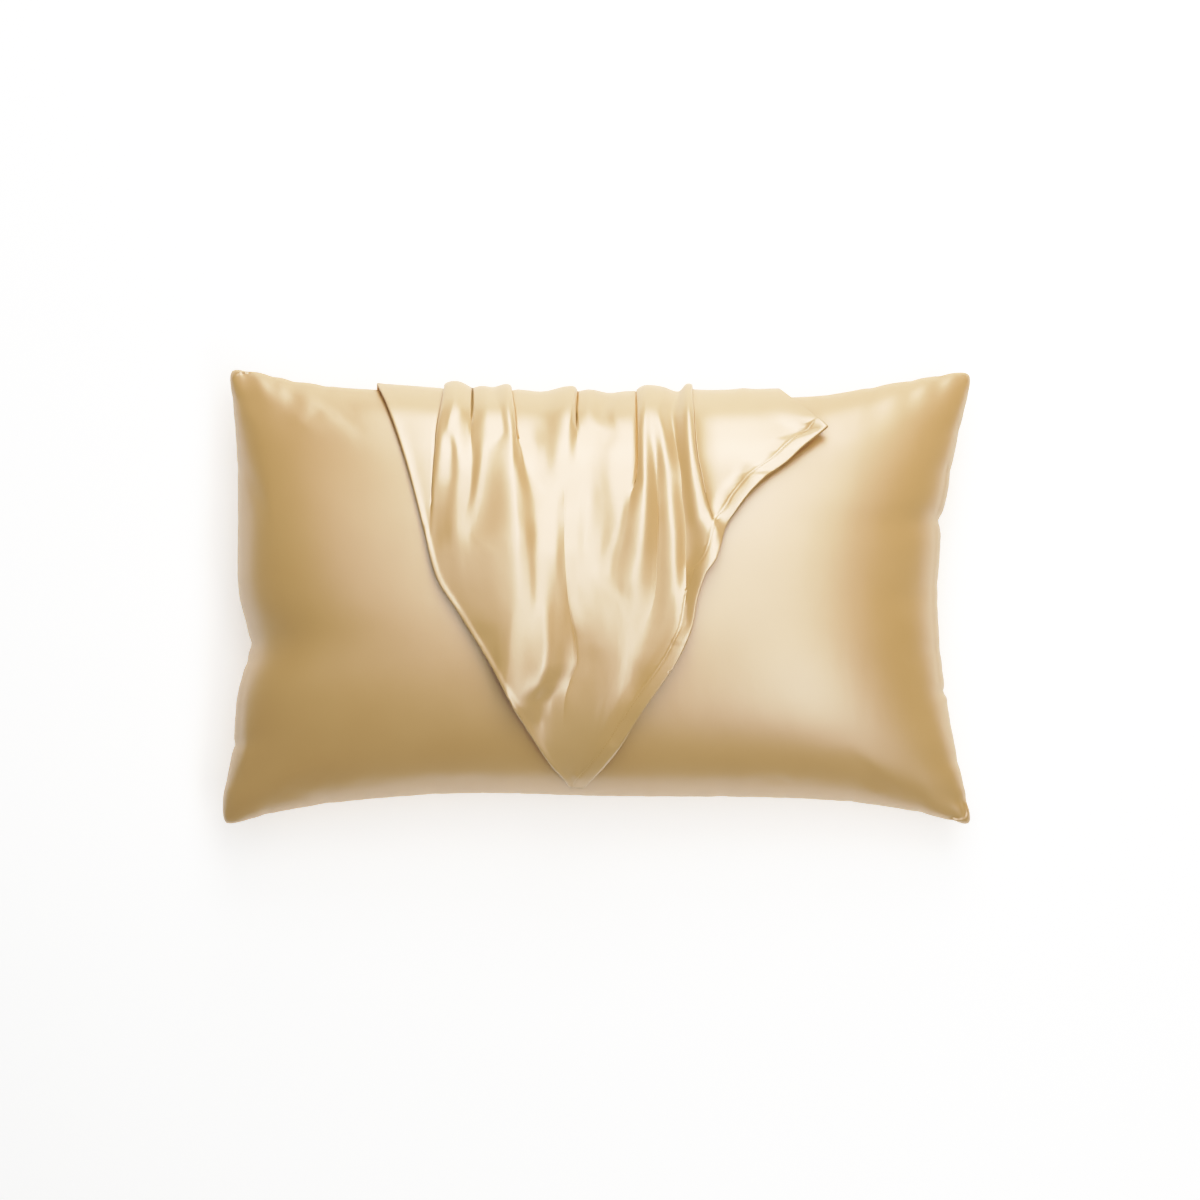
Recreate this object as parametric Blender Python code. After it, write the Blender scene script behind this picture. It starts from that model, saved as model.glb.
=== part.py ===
"""A satin pillowcase draped over the long edge of a pillow.

The pillow lies on its back on the floor, in a fitted case of the same satin. The draped case is
empty. Its hemmed corner hangs down the face of the pillow in soft folds, and the rest of it goes
over the top edge, down to the floor and flat under the pillow.

Frame: +X along the pillow, +Y towards the edge that the case falls over, +Z up, with the origin
on the floor under the middle of the pillow. All lengths are in metres.
"""

import math

import bpy
import numpy as np
from mathutils.geometry import delaunay_2d_cdt

# ---------------------------------------------------------------- the pillow's driving sizes
# Corners of the sewn edge, as the eye sees the pillow from above.
CORNERS = {
    "top_left": (-0.3525, 0.2215),
    "top_right": (0.3590, 0.2180),
    "bottom_right": (0.3590, -0.2215),
    "bottom_left": (-0.3570, -0.2215),
}
# side: (depth that it is drawn in at its middle, squareness of the curve)
SIDES = {
    "top": (0.0325, 2.4),
    "bottom": (0.0320, 4.4),
    "left": (0.0140, 4.0),
    "right": (0.0365, 1.7),
}
# Places where the edge is pulled further in, or let out: (side, place along it, depth, half width)
TUCKS = [
    ("left", -0.044, 0.0120, 0.035),
    ("left", -0.185, -0.0045, 0.030),
    ("right", 0.071, 0.0030, 0.014),
    ("bottom", -0.110, 0.0035, 0.090),
    ("top", -0.265, 0.0028, 0.060),
    ("top", 0.205, 0.0040, 0.050),
]
CORNER_ROUND = 0.0035       # how far each corner's point is rounded back
CORNER_REACH = 0.010        # how far along the sides that rounding is felt
SEAM_HEIGHT = 0.062         # sewn edge above the floor
SEAM_BAND = 0.003           # thickness of the sewn edge
CORNER_DROOP = 0.014        # the empty corners hang this much lower
CROWN = 0.086               # rise of the face above the sewn edge
BELLY = 0.084               # depth that the underside would bulge if the floor did not stop it
FULL_ALONG = 3.6            # squareness of the filling along the pillow
FULL_ACROSS = 2.2           # and across it
FULL_POWER = 0.56           # how steeply the face rises from the sewn edge
PILLOW_CELLS = (42, 26)     # mesh cells along and across
EVEN_SHARE = 0.15           # how even those cells are: the rest crowd towards the edges
PILLOW_SATIN = ((0.66, 0.49, 0.28), 0.38)   # colour and roughness

# ---------------------------------------------------------------- the draped case's driving sizes
SHEET = 0.0010              # each panel's thickness
PANEL_GAP = 0.0008          # air between the two panels
CLEARANCE = 0.0036          # middle of the two panels above the pillow, where no fold lifts them
EDGE_LINE = 0.1870          # the pillow's top edge, at its middle
TUCK_IN = 0.050             # how far the case curls back under the edge on its way to the floor
POCKET = 0.0032             # hollow in the pillow's underside where the case lies under it
POCKET_MARGIN = (0.036, 0.072)   # full depth this far round the case, and gone by this far
SHARP_EDGE = math.radians(50)    # edges that bend more than this are creases, not curves
FRONT_SATIN = ((0.70, 0.53, 0.32), 0.34)    # colour and roughness
BACK_SATIN = ((0.68, 0.51, 0.30), 0.40)

# Outline of the case, all round from its hanging corner: (x, run). Run is y on the face, and
# past the edge line it goes on along the cloth, down to the floor and under the pillow.
HEM_EDGE = [
    (-0.0123, -0.1754), (0.0189, -0.1386), (0.0405, -0.1047), (0.0792, -0.0481),
    (0.0886, -0.0255), (0.0934, -0.0009), (0.1009, 0.0207), (0.1103, 0.0339),
    (0.1160, 0.0528), (0.1179, 0.0594), (0.1377, 0.0886), (0.1565, 0.1075),
    (0.1763, 0.1216), (0.1914, 0.1339), (0.2159, 0.1499),
]
RIGHT_SEAM = [
    (0.1940, 0.1700), (0.1720, 0.1870), (0.1730, 0.2200), (0.1900, 0.2500),
    (0.2200, 0.2950), (0.2500, 0.3650),
]
FAR_END = [(-0.0300, 0.5820), (-0.3080, 0.3900)]
LEFT_SEAM = [
    (-0.2750, 0.3100), (-0.2300, 0.2600), (-0.2085, 0.2200), (-0.2075, 0.1870), (-0.1976, 0.1700),
    (-0.1787, 0.1207),
    (-0.1693, 0.0886), (-0.1598, 0.0528), (-0.1495, 0.0160), (-0.1268, -0.0198),
    (-0.0919, -0.0745), (-0.0721, -0.1094), (-0.0410, -0.1575), (-0.0264, -0.1745),
]

# Folds: the run at which each column below is read, then one row for each fold.
STATIONS = (0.187, 0.120, 0.053, -0.022, -0.098)
# name: (crest x at each station), (height at each station), left half width, right half width
FOLDS = {
    "outer fold": ((-0.134, -0.141, -0.146, -0.152, -0.158),
                   (0.0055, 0.0060, 0.0045, 0.0010, 0.0000), 0.011, 0.020),
    "second fold": ((-0.091, -0.085, -0.088, -0.092, -0.092),
                    (0.0055, 0.0080, 0.0065, 0.0040, 0.0010), 0.022, 0.012),
    "broad roll": ((-0.066, -0.060, -0.061, -0.062, -0.064),
                   (0.0020, 0.0040, 0.0075, 0.0085, 0.0040), 0.020, 0.020),
    "crease fold": ((-0.023, -0.028, -0.030, -0.025, -0.014),
                    (0.0045, 0.0060, 0.0060, 0.0050, 0.0020), 0.022, 0.011),
    "soft fold": ((-0.008, -0.006, -0.004, 0.000, 0.006),
                  (0.0020, 0.0035, 0.0030, 0.0010, 0.0000), 0.011, 0.018),
    "turned fold": ((0.033, 0.034, 0.024, 0.006, 0.004),
                    (0.0045, 0.0060, 0.0050, 0.0025, 0.0000), 0.022, 0.010),
    "left branch": ((0.049, 0.045, 0.041, 0.030, 0.024),
                    (0.0040, 0.0050, 0.0040, 0.0020, 0.0000), 0.009, 0.010),
    "right branch": ((0.054, 0.062, 0.070, 0.071, 0.064),
                     (0.0040, 0.0070, 0.0070, 0.0060, 0.0030), 0.012, 0.014),
    "lap": ((0.084, 0.088, 0.099, 0.094, 0.080),
            (0.0090, 0.0095, 0.0085, 0.0030, 0.0000), 0.018, 0.012),
    "lifted seam": ((-0.204, -0.176, -0.155, -0.119, -0.078),
                    (0.0000, 0.0010, 0.0030, 0.0060, 0.0050), 0.014, 0.024),
}
FOLDS_PRESSED = 0.87        # share of the way down behind the edge by which no fold is left

# The panels' mesh.
FOLD_STEP = 0.022           # spacing of the rows down the folds
FOLD_ROWS = (0.012, 0.036)  # first row above the hanging corner, last row before the edge
EDGE_ROWS = (0.030, 0.019, 0.0105, 0.0045, 0.0015, 0.0)     # rows this far before the edge
CURL_ROWS = (0.14, 0.30, 0.48, 0.66, 0.84, 1.0)             # rows past it, as shares of the curl
FLOOR_STEP = 0.055          # spacing on the floor
RIM_STEP = 0.011            # spacing along the outline
RIM_MERGE = 0.15            # points nearer than this share of a side are kept as one
ROW_GAPS = (0.0048, 0.0150)     # narrowest and widest spacing of the points in a row
FLANK = 0.55                # place of the points on a fold's flanks, as a share of its half width
SLIGHT_FOLD = 0.0008        # a fold lower than this gets no points of its own


# ---------------------------------------------------------------- the pillow's shape
def drawn_in(side, along, start, end):
    """Depth by which a side lies inside the straight line between its two corners."""
    depth, squareness = SIDES[side]
    share = np.clip((along - start) / (end - start), 0.0, 1.0)
    pulled = depth * (1.0 - np.abs(2.0 * share - 1.0) ** squareness)
    for where, at, deep, half_width in TUCKS:
        if where == side:
            pulled = pulled + deep * np.exp(-(((along - at) / half_width) ** 2))
    return share, pulled


def side_y(side, x):
    """Height on the page of the top or bottom side at x."""
    left, right = CORNERS[side + "_left"], CORNERS[side + "_right"]
    share, pulled = drawn_in(side, x, left[0], right[0])
    inward = -1.0 if side == "top" else 1.0
    return left[1] + (right[1] - left[1]) * share + inward * pulled


def side_x(side, y):
    """Place of the left or right side at height y."""
    low, high = CORNERS["bottom_" + side], CORNERS["top_" + side]
    share, pulled = drawn_in(side, y, low[1], high[1])
    inward = 1.0 if side == "left" else -1.0
    return low[0] + (high[0] - low[0]) * share + inward * pulled


def across_pillow(x, y):
    """Place between the sides, as -1 to 1 along the pillow and -1 to 1 across it."""
    left, right = side_x("left", y), side_x("right", y)
    bottom, top = side_y("bottom", x), side_y("top", x)
    along = (2.0 * x - left - right) / (right - left)
    up = (2.0 * y - bottom - top) / (top - bottom)
    return np.clip(along, -1.0, 1.0), np.clip(up, -1.0, 1.0)


def fullness(along, up):
    """Share of the pillow's full rise: 1 in the middle and 0 at the sewn edge."""
    lengthwise = 1.0 - np.abs(along) ** FULL_ALONG
    crosswise = 1.0 - np.abs(up) ** FULL_ACROSS
    return (lengthwise * crosswise) ** FULL_POWER


def seam_z(along, up):
    """Height of the sewn edge, which droops towards the corners."""
    return SEAM_HEIGHT - CORNER_DROOP * np.abs(along * up) ** 3


def face_z(x, y):
    along, up = across_pillow(x, y)
    return seam_z(along, up) + SEAM_BAND / 2 + CROWN * fullness(along, up)


def smooth_step(value):
    value = np.clip(value, 0.0, 1.0)
    return value * value * (3.0 - 2.0 * value)


def distance_outside(x, y, outline):
    """Distance from each point to a closed outline, and 0 inside it."""
    points = np.stack([x, y], axis=-1)
    nearest = np.full(x.shape, np.inf)
    inside = np.zeros(x.shape, dtype=bool)
    for start, end in zip(outline, outline[1:] + outline[:1]):
        start, end = np.array(start), np.array(end)
        edge = end - start
        share = np.clip(((points - start) @ edge) / (edge @ edge), 0.0, 1.0)
        gap = points - start - share[..., None] * edge
        nearest = np.minimum(nearest, np.hypot(gap[..., 0], gap[..., 1]))
        crosses = (start[1] > y) != (end[1] > y)
        rise = end[1] - start[1]
        crossing_x = start[0] + (y - start[1]) * edge[0] / (rise if rise else 1.0)
        inside ^= crosses & (x < crossing_x)
    return np.where(inside, 0.0, nearest)


def underside_z(x, y):
    """Underside: flat on the floor, with a shallow pocket where the case lies beneath it."""
    along, up = across_pillow(x, y)
    free = seam_z(along, up) - SEAM_BAND / 2 - BELLY * fullness(along, up)
    full_margin, no_margin = POCKET_MARGIN
    away = distance_outside(x, y, floor_outline())
    pocket = POCKET * (1.0 - smooth_step((away - full_margin) / (no_margin - full_margin)))
    return np.maximum(free, pocket)


def eased_spacing(cells):
    """Shares from 0 to 1, closer together towards both ends."""
    even = np.linspace(0.0, 1.0, cells + 1)
    crowded = (1.0 - np.cos(math.pi * even)) / 2.0
    return EVEN_SHARE * even + (1.0 - EVEN_SHARE) * crowded


def pillow_grid():
    """Points of the sewn outline's patch, as arrays x and y by row up and column along."""
    columns, rows = PILLOW_CELLS
    s, t = np.meshgrid(eased_spacing(columns), eased_spacing(rows))
    corner = {name: np.array(place) for name, place in CORNERS.items()}

    def between(name_a, name_b, share):
        return corner[name_a] + (corner[name_b] - corner[name_a]) * share[..., None]

    bottom = between("bottom_left", "bottom_right", s)
    top = between("top_left", "top_right", s)
    left = between("bottom_left", "top_left", t)
    right = between("bottom_right", "top_right", t)
    bottom[..., 1] = side_y("bottom", bottom[..., 0])
    top[..., 1] = side_y("top", top[..., 0])
    left[..., 0] = side_x("left", left[..., 1])
    right[..., 0] = side_x("right", right[..., 1])
    straight_bottom = between("bottom_left", "bottom_right", s)
    straight_top = between("top_left", "top_right", s)
    s, t = s[..., None], t[..., None]
    patch = ((1 - t) * bottom + t * top + (1 - s) * left + s * right
             - (1 - t) * straight_bottom - t * straight_top)
    return patch[..., 0], patch[..., 1]


def rounded_corners(x, y):
    """Moves the points near each corner back towards the middle."""
    for corner_x, corner_y in CORNERS.values():
        reach = np.exp(-np.hypot(x - corner_x, y - corner_y) / CORNER_REACH)
        x = x - math.copysign(CORNER_ROUND, corner_x) * reach
        y = y - math.copysign(CORNER_ROUND, corner_y) * reach
    return x, y


def new_object(name, verts, faces, material):
    mesh = bpy.data.meshes.new(name)
    mesh.from_pydata([tuple(map(float, v)) for v in verts], [], faces)
    mesh.materials.append(material)
    mesh.shade_smooth()
    mesh.set_sharp_from_angle(angle=SHARP_EDGE)
    obj = bpy.data.objects.new(name, mesh)
    bpy.context.collection.objects.link(obj)
    return obj


def satin(name, finish):
    colour, roughness = finish
    material = bpy.data.materials.new(name)
    material.use_nodes = True
    shader = material.node_tree.nodes["Principled BSDF"]
    shader.inputs["Base Color"].default_value = (*colour, 1.0)
    shader.inputs["Roughness"].default_value = roughness
    shader.inputs["Metallic"].default_value = 0.0
    return material


def make_pillow(material):
    """Face and underside over the same grid, joined all round by the sewn edge."""
    grid_x, grid_y = pillow_grid()
    top_z, low_z = face_z(grid_x, grid_y), underside_z(grid_x, grid_y)
    x, y = rounded_corners(grid_x, grid_y)
    rows, columns = x.shape
    face = np.stack([x, y, top_z], axis=-1).reshape(-1, 3)
    under = np.stack([x, y, low_z], axis=-1).reshape(-1, 3)
    count = rows * columns
    faces = []
    for row in range(rows - 1):
        for column in range(columns - 1):
            a = row * columns + column
            b, c, d = a + 1, a + columns + 1, a + columns
            faces.append((a, b, c, d))
            faces.append((d + count, c + count, b + count, a + count))
    ring = ([column for column in range(columns)]
            + [row * columns + columns - 1 for row in range(1, rows)]
            + [(rows - 1) * columns + column for column in range(columns - 2, -1, -1)]
            + [row * columns for row in range(rows - 2, 0, -1)])
    for here, ahead in zip(ring, ring[1:] + ring[:1]):
        faces.append((here + count, ahead + count, ahead, here))
    return new_object("pillow", np.vstack([face, under]), faces, material)


# ---------------------------------------------------------------- the draped case's shape
SEAM_TOP = SEAM_HEIGHT + SEAM_BAND / 2
# On the floor the middle of the two panels lies at this height, so the outer one touches down.
FLOOR_MIDDLE = SHEET + PANEL_GAP / 2
CURL_BASE = FLOOR_MIDDLE + CLEARANCE
CURL_RUN = math.pi / 2 * math.sqrt((TUCK_IN ** 2 + (SEAM_TOP - CURL_BASE) ** 2) / 2)
FLOOR_RUN = EDGE_LINE + CURL_RUN          # run at which the cloth reaches the floor


def floor_y(x, run):
    return side_y("top", x) - TUCK_IN - (run - FLOOR_RUN)


def case_outline():
    return HEM_EDGE + RIGHT_SEAM + FAR_END + LEFT_SEAM


def floor_outline():
    """The part of the case's outline that lies on the floor, seen from above."""
    on_floor = [(x, run) for x, run in case_outline() if run > FLOOR_RUN]
    first, last = on_floor[0], on_floor[-1]
    corners = [(first[0], FLOOR_RUN)] + on_floor + [(last[0], FLOOR_RUN)]
    return [(x, float(floor_y(x, run))) for x, run in corners]


def along_stations(values, run):
    """Reads a fold's row between its stations, eased so that its line has no corners."""
    stations = np.array(STATIONS[::-1])
    values = np.array(values[::-1], dtype=float)
    slopes = np.gradient(values, stations)
    place = np.clip(run, stations[0], stations[-1])
    cell = np.clip(np.searchsorted(stations, place) - 1, 0, len(stations) - 2)
    width = stations[cell + 1] - stations[cell]
    t = (place - stations[cell]) / width
    start, end = values[cell], values[cell + 1]
    return ((2 * t ** 3 - 3 * t ** 2 + 1) * start + (t ** 3 - 2 * t ** 2 + t) * width * slopes[cell]
            + (3 * t ** 2 - 2 * t ** 3) * end + (t ** 3 - t ** 2) * width * slopes[cell + 1])


def fold_height(x, run):
    """Height of the folds above the unfolded cloth."""
    height = np.zeros(np.shape(x))
    for crest, heights, left_width, right_width in FOLDS.values():
        aside = x - along_stations(crest, run)
        aside = aside / np.where(aside < 0.0, left_width, right_width)
        bump = np.clip(1.0 - aside ** 2, 0.0, None) ** 2
        height = height + np.maximum(along_stations(heights, run), 0.0) * bump
    # Behind the edge the folds open out, and the pillow presses them flat on the floor.
    behind = np.clip((run - EDGE_LINE) / CURL_RUN, 0.0, 1.0)
    return height * (1.0 - smooth_step(behind / FOLDS_PRESSED))


def smooth_cloth(x, run):
    """The unfolded cloth, with the direction that faces away from the pillow at each point."""
    # On the face, the run is read as a share of the pillow's own depth at this x.
    bottom, top = side_y("bottom", x), side_y("top", x)
    middle_bottom = float(side_y("bottom", 0.0))
    share = np.clip((run - middle_bottom) / (EDGE_LINE - middle_bottom), 0.0, 1.0)
    y = bottom + (top - bottom) * share
    step = 1e-5
    slope_x = (face_z(x + step, y) - face_z(x - step, y)) / (2 * step)
    slope_y = (face_z(x, y) - face_z(x, y - step)) / step
    on_face = np.stack([x, y, face_z(x, y)], axis=-1)
    outward = np.stack([-slope_x, -slope_y, np.ones_like(x)], axis=-1)
    # Past the edge, the cloth curls down and in along a quarter of an ellipse to the floor.
    angle = np.clip((run - EDGE_LINE) / CURL_RUN, 0.0, 1.0) * math.pi / 2
    drop = SEAM_TOP - CURL_BASE
    past_bend = np.clip(run - FLOOR_RUN, 0.0, None)
    curl_y = top - TUCK_IN * (1.0 - np.cos(angle)) - past_bend
    curl = np.stack([x, curl_y, SEAM_TOP - drop * np.sin(angle)], axis=-1)
    curl_outward = np.stack([np.zeros_like(x), np.cos(angle) / TUCK_IN, -np.sin(angle) / drop], axis=-1)
    behind = (run >= EDGE_LINE - 1e-9)[..., None]
    place = np.where(behind, curl, on_face)
    outward = np.where(behind, curl_outward, outward)
    return place, outward / np.linalg.norm(outward, axis=-1, keepdims=True)


def folded_cloth(x, run):
    """Middle of the two panels, with their folds."""
    place, outward = smooth_cloth(x, run)
    return place + outward * (CLEARANCE + fold_height(x, run))[..., None]


def cloth_normal(x, run):
    """Direction square to the folded cloth, facing away from the pillow."""
    step = 4e-4
    sideways = folded_cloth(x + step, run) - folded_cloth(x - step, run)
    onward = folded_cloth(x, run + step) - folded_cloth(x, run - step)
    normal = np.cross(sideways, onward)
    return normal / np.linalg.norm(normal, axis=-1, keepdims=True)


def mesh_rows():
    """Runs of the mesh's rows: down the folds, close together over the edge, and on the floor."""
    runs = [run for _, run in case_outline()]
    first, last = FOLD_ROWS
    face = np.arange(min(runs) + first, EDGE_LINE - last, FOLD_STEP)
    over_edge = EDGE_LINE - np.array(EDGE_ROWS)
    curl = EDGE_LINE + CURL_RUN * np.array(CURL_ROWS)
    floor = np.arange(FLOOR_RUN + FLOOR_STEP, max(runs) - RIM_STEP, FLOOR_STEP)
    return [float(run) for run in np.concatenate([face, over_edge, curl, floor])]


def rim_points(rows):
    """The case's outline as close points, with one wherever a row meets it."""
    outline = case_outline()
    points = []
    for start, end in zip(outline, outline[1:] + outline[:1]):
        steps = max(1, math.ceil(math.dist(start, end) / RIM_STEP))
        shares = [i / steps for i in range(steps)]
        for run in rows:
            share = (run - start[1]) / (end[1] - start[1]) if end[1] != start[1] else -1.0
            if 0.0 < share < 1.0:
                shares = [other for other in shares if other == 0.0 or abs(other - share) > RIM_MERGE]
                shares.append(share)
        points += [(start[0] + (end[0] - start[0]) * share,
                    start[1] + (end[1] - start[1]) * share) for share in sorted(shares)]
    return points


def row_points(left, right, run):
    """The x of the mesh's points in one row: on the folds' lines, and evenly between them."""
    narrow, wide = ROW_GAPS if run < FLOOR_RUN - 1e-6 else (FLOOR_STEP, FLOOR_STEP)
    wanted = []
    for crest, heights, left_width, right_width in FOLDS.values():
        if float(along_stations(heights, run)) > SLIGHT_FOLD and run < FLOOR_RUN - 1e-6:
            centre = float(along_stations(crest, run))
            wanted += [centre, centre - left_width * FLANK, centre + right_width * FLANK,
                       centre - left_width, centre + right_width]
    wanted = sorted(x for x in wanted if left + narrow < x < right - narrow)
    kept = [left]
    for x in wanted + [right]:
        if x - kept[-1] < narrow and x != right:
            continue
        first = kept[-1]
        steps = max(1, math.ceil((x - first) / wide))
        kept += [first + (x - first) * (i + 1) / steps for i in range(steps)]
    return kept[1:-1]


def flat_mesh():
    """The case's flat outline as triangles, whose edges keep to the rows down its folds."""
    rows = mesh_rows()
    points = rim_points(rows)
    rim = len(points)
    edges = [(i, (i + 1) % rim) for i in range(rim)]
    for run in rows:
        met = sorted((x, i) for i, (x, at) in enumerate(points[:rim]) if abs(at - run) < 1e-9)
        for (left, left_index), (right, right_index) in zip(met[::2], met[1::2]):
            row = row_points(left, right, run)
            chain = [left_index, *range(len(points), len(points) + len(row)), right_index]
            points += [(x, run) for x in row]
            edges += list(zip(chain, chain[1:]))
    verts, _, triangles, _, _, _ = delaunay_2d_cdt(points, edges, [], 1, 1e-7)
    return np.array([v[0] for v in verts]), np.array([v[1] for v in verts]), triangles


def make_panel(name, inner, outer, material):
    """One panel: a closed sheet between two offsets from the middle of the case."""
    x, run, triangles = flat_mesh()
    middle, normal = folded_cloth(x, run), cloth_normal(x, run)
    count = len(x)
    verts = np.vstack([middle + normal * outer, middle + normal * inner])
    verts[:, 2] = np.maximum(verts[:, 2], 0.0)
    faces = [tuple(t) for t in triangles]
    used = {}
    for a, b, c in faces:
        for edge in ((a, b), (b, c), (c, a)):
            used[edge] = used.get(edge, 0) + 1
    border = [edge for edge in used if (edge[1], edge[0]) not in used]
    faces += [(c + count, b + count, a + count) for a, b, c in triangles]
    faces += [(b, a, a + count, b + count) for a, b in border]
    return new_object(name, verts, faces, material)


def main():
    for obj in list(bpy.data.objects):
        bpy.data.objects.remove(obj)
    make_pillow(satin("pillow_satin", PILLOW_SATIN))
    gap = PANEL_GAP / 2
    make_panel("case_front_panel", gap, gap + SHEET, satin("case_front_satin", FRONT_SATIN))
    make_panel("case_back_panel", -gap - SHEET, -gap, satin("case_back_satin", BACK_SATIN))


main()
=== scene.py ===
"""A satin pillowcase draped over the long edge of a pillow, dressed for its picture.

Frame: +X along the pillow, +Y towards the edge that the case falls over, +Z up. Lengths are in metres.
"""

import math

import bpy
import numpy as np
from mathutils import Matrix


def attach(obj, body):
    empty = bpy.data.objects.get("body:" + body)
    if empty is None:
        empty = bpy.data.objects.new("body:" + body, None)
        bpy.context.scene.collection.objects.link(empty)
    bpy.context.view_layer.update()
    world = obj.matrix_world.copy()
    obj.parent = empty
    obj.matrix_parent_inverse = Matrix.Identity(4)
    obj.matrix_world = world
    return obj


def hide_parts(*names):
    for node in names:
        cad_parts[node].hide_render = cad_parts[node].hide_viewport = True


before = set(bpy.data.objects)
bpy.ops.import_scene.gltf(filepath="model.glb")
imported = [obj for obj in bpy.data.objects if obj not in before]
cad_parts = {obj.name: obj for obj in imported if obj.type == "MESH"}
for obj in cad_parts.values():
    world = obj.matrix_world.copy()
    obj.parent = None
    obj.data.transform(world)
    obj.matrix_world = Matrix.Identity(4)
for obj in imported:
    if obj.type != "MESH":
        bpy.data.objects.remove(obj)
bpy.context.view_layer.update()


# ------------------------------------------------------------------------------------------------
# The pillow: a fibre filling in its own fitted case of pale gold satin. Two rectangles are sewn
# together all round, so the filled face is crowned, the sides draw in between the corners and
# the cloth puckers along the seam.
CORNERS = {
    "top_left": (-0.3525, 0.2215),
    "top_right": (0.3590, 0.2180),
    "bottom_right": (0.3590, -0.2215),
    "bottom_left": (-0.3570, -0.2215),
}
# side: (depth that it is drawn in at its middle, squareness of the curve)
SIDES = {
    "top": (0.0325, 2.4),
    "bottom": (0.0320, 4.4),
    "left": (0.0140, 4.0),
    "right": (0.0365, 1.7),
}
# Places where the edge is pulled further in, or let out: (side, place along it, depth, half width)
TUCKS = [
    ("left", -0.044, 0.0120, 0.035),
    ("left", -0.185, -0.0045, 0.030),
    ("right", 0.071, 0.0030, 0.014),
    ("bottom", -0.110, 0.0035, 0.090),
    ("top", -0.265, 0.0028, 0.060),
    ("top", 0.205, 0.0040, 0.050),
]
CORNER_ROUND = 0.0080            # how far a corner's point is drawn in
CORNER_REACH = 0.010
SEAM_HEIGHT = 0.062
SEAM_BAND = 0.003
CORNER_DROOP = 0.014             # how far the seam sinks at the corners
CROWN = 0.086                    # rise of the face above the seam, at its middle
BELLY = 0.084                    # and of the underside below it
FULL_ALONG = 3.6                 # how square the filling is along the pillow
FULL_ACROSS = 2.2
FULL_POWER = 0.56
CUT_SIZE = (0.74, 0.48)          # each panel of the fitted case before it is sewn
PANEL_CELLS = (132, 84)          # mesh cells along and across each panel
EVEN_SHARE = 0.55                # how even those cells are: the rest crowd towards the seam
WORKED_CUT = (0.742, 0.452)      # the cut's size over which the filling stretches it
PUCKER_CAP = 0.006               # farthest that a pucker moves the cloth
PUCKER_GAIN = 0.55               # share of the settled cloth's puckers that is kept
PUCKER_SIDEWAYS = 0.15           # and of their pull along the floor, which would draw the seam in
PUCKER_REACH = (0.020, 0.085)    # distance from the seam at which they begin to fade, and are gone
SMOOTHING_ROUNDS = 60            # a pucker is what this many rounds of smoothing take away
CLOTH = {                        # how the cover's cloth settles round the filling
    "quality": 6, "mass": 0.25, "tension_stiffness": 25.0, "compression_stiffness": 25.0,
    "shear_stiffness": 8.0, "bending_stiffness": 0.6, "uniform_pressure_force": 4.0,
}
SETTLING_STEPS = 24
PRESSED_PUCKERS = 0.12           # share of the puckers left where the draped case presses
PRESSED_FROM = -0.17             # the case presses from here to the top edge
PRESSED_ROUNDS = 6               # rounds of smoothing at the rim of that stretch
DRAPED_SPAN = (-0.225, 0.205)    # the stretch of the top edge that the draped case presses smooth


def drawn_in(side, along, start, end):
    """Depth by which a side lies inside the straight line between its two corners."""
    depth, squareness = SIDES[side]
    share = np.clip((along - start) / (end - start), 0.0, 1.0)
    pulled = depth * (1.0 - np.abs(2.0 * share - 1.0) ** squareness)
    for where, at, deep, half_width in TUCKS:
        if where == side:
            pulled = pulled + deep * np.exp(-(((along - at) / half_width) ** 2))
    return share, pulled


def side_y(side, x):
    left, right = CORNERS[side + "_left"], CORNERS[side + "_right"]
    share, pulled = drawn_in(side, x, left[0], right[0])
    inward = -1.0 if side == "top" else 1.0
    return left[1] + (right[1] - left[1]) * share + inward * pulled


def side_x(side, y):
    low, high = CORNERS["bottom_" + side], CORNERS["top_" + side]
    share, pulled = drawn_in(side, y, low[1], high[1])
    inward = 1.0 if side == "left" else -1.0
    return low[0] + (high[0] - low[0]) * share + inward * pulled


def fullness_at(x, y):
    """Share of the full rise, and the seam's height, at a place on the pillow."""
    left, right = side_x("left", y), side_x("right", y)
    bottom, top = side_y("bottom", x), side_y("top", x)
    along = np.clip((2.0 * x - left - right) / (right - left), -1.0, 1.0)
    up = np.clip((2.0 * y - bottom - top) / (top - bottom), -1.0, 1.0)
    full = ((1.0 - np.abs(along) ** FULL_ALONG) * (1.0 - np.abs(up) ** FULL_ACROSS)) ** FULL_POWER
    return full, SEAM_HEIGHT - CORNER_DROOP * np.abs(along * up) ** 3


def face_z(x, y):
    full, seam = fullness_at(x, y)
    return seam + SEAM_BAND / 2 + CROWN * full


def eased_spacing(cells):
    even = np.linspace(0.0, 1.0, cells + 1)
    return EVEN_SHARE * even + (1.0 - EVEN_SHARE) * (1.0 - np.cos(math.pi * even)) / 2.0


def sewn_patch(s, t):
    """Points over the sewn outline, from shares along and up its sides."""
    corner = {name: np.array(place) for name, place in CORNERS.items()}

    def between(name_a, name_b, share):
        return corner[name_a] + (corner[name_b] - corner[name_a]) * share[..., None]

    bottom, top = between("bottom_left", "bottom_right", s), between("top_left", "top_right", s)
    left, right = between("bottom_left", "top_left", t), between("bottom_right", "top_right", t)
    straight_bottom, straight_top = bottom.copy(), top.copy()
    bottom[..., 1] = side_y("bottom", bottom[..., 0])
    top[..., 1] = side_y("top", top[..., 0])
    left[..., 0] = side_x("left", left[..., 1])
    right[..., 0] = side_x("right", right[..., 1])
    s, t = s[..., None], t[..., None]
    patch = ((1 - t) * bottom + t * top + (1 - s) * left + s * right
             - (1 - t) * straight_bottom - t * straight_top)
    return patch[..., 0], patch[..., 1]


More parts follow.
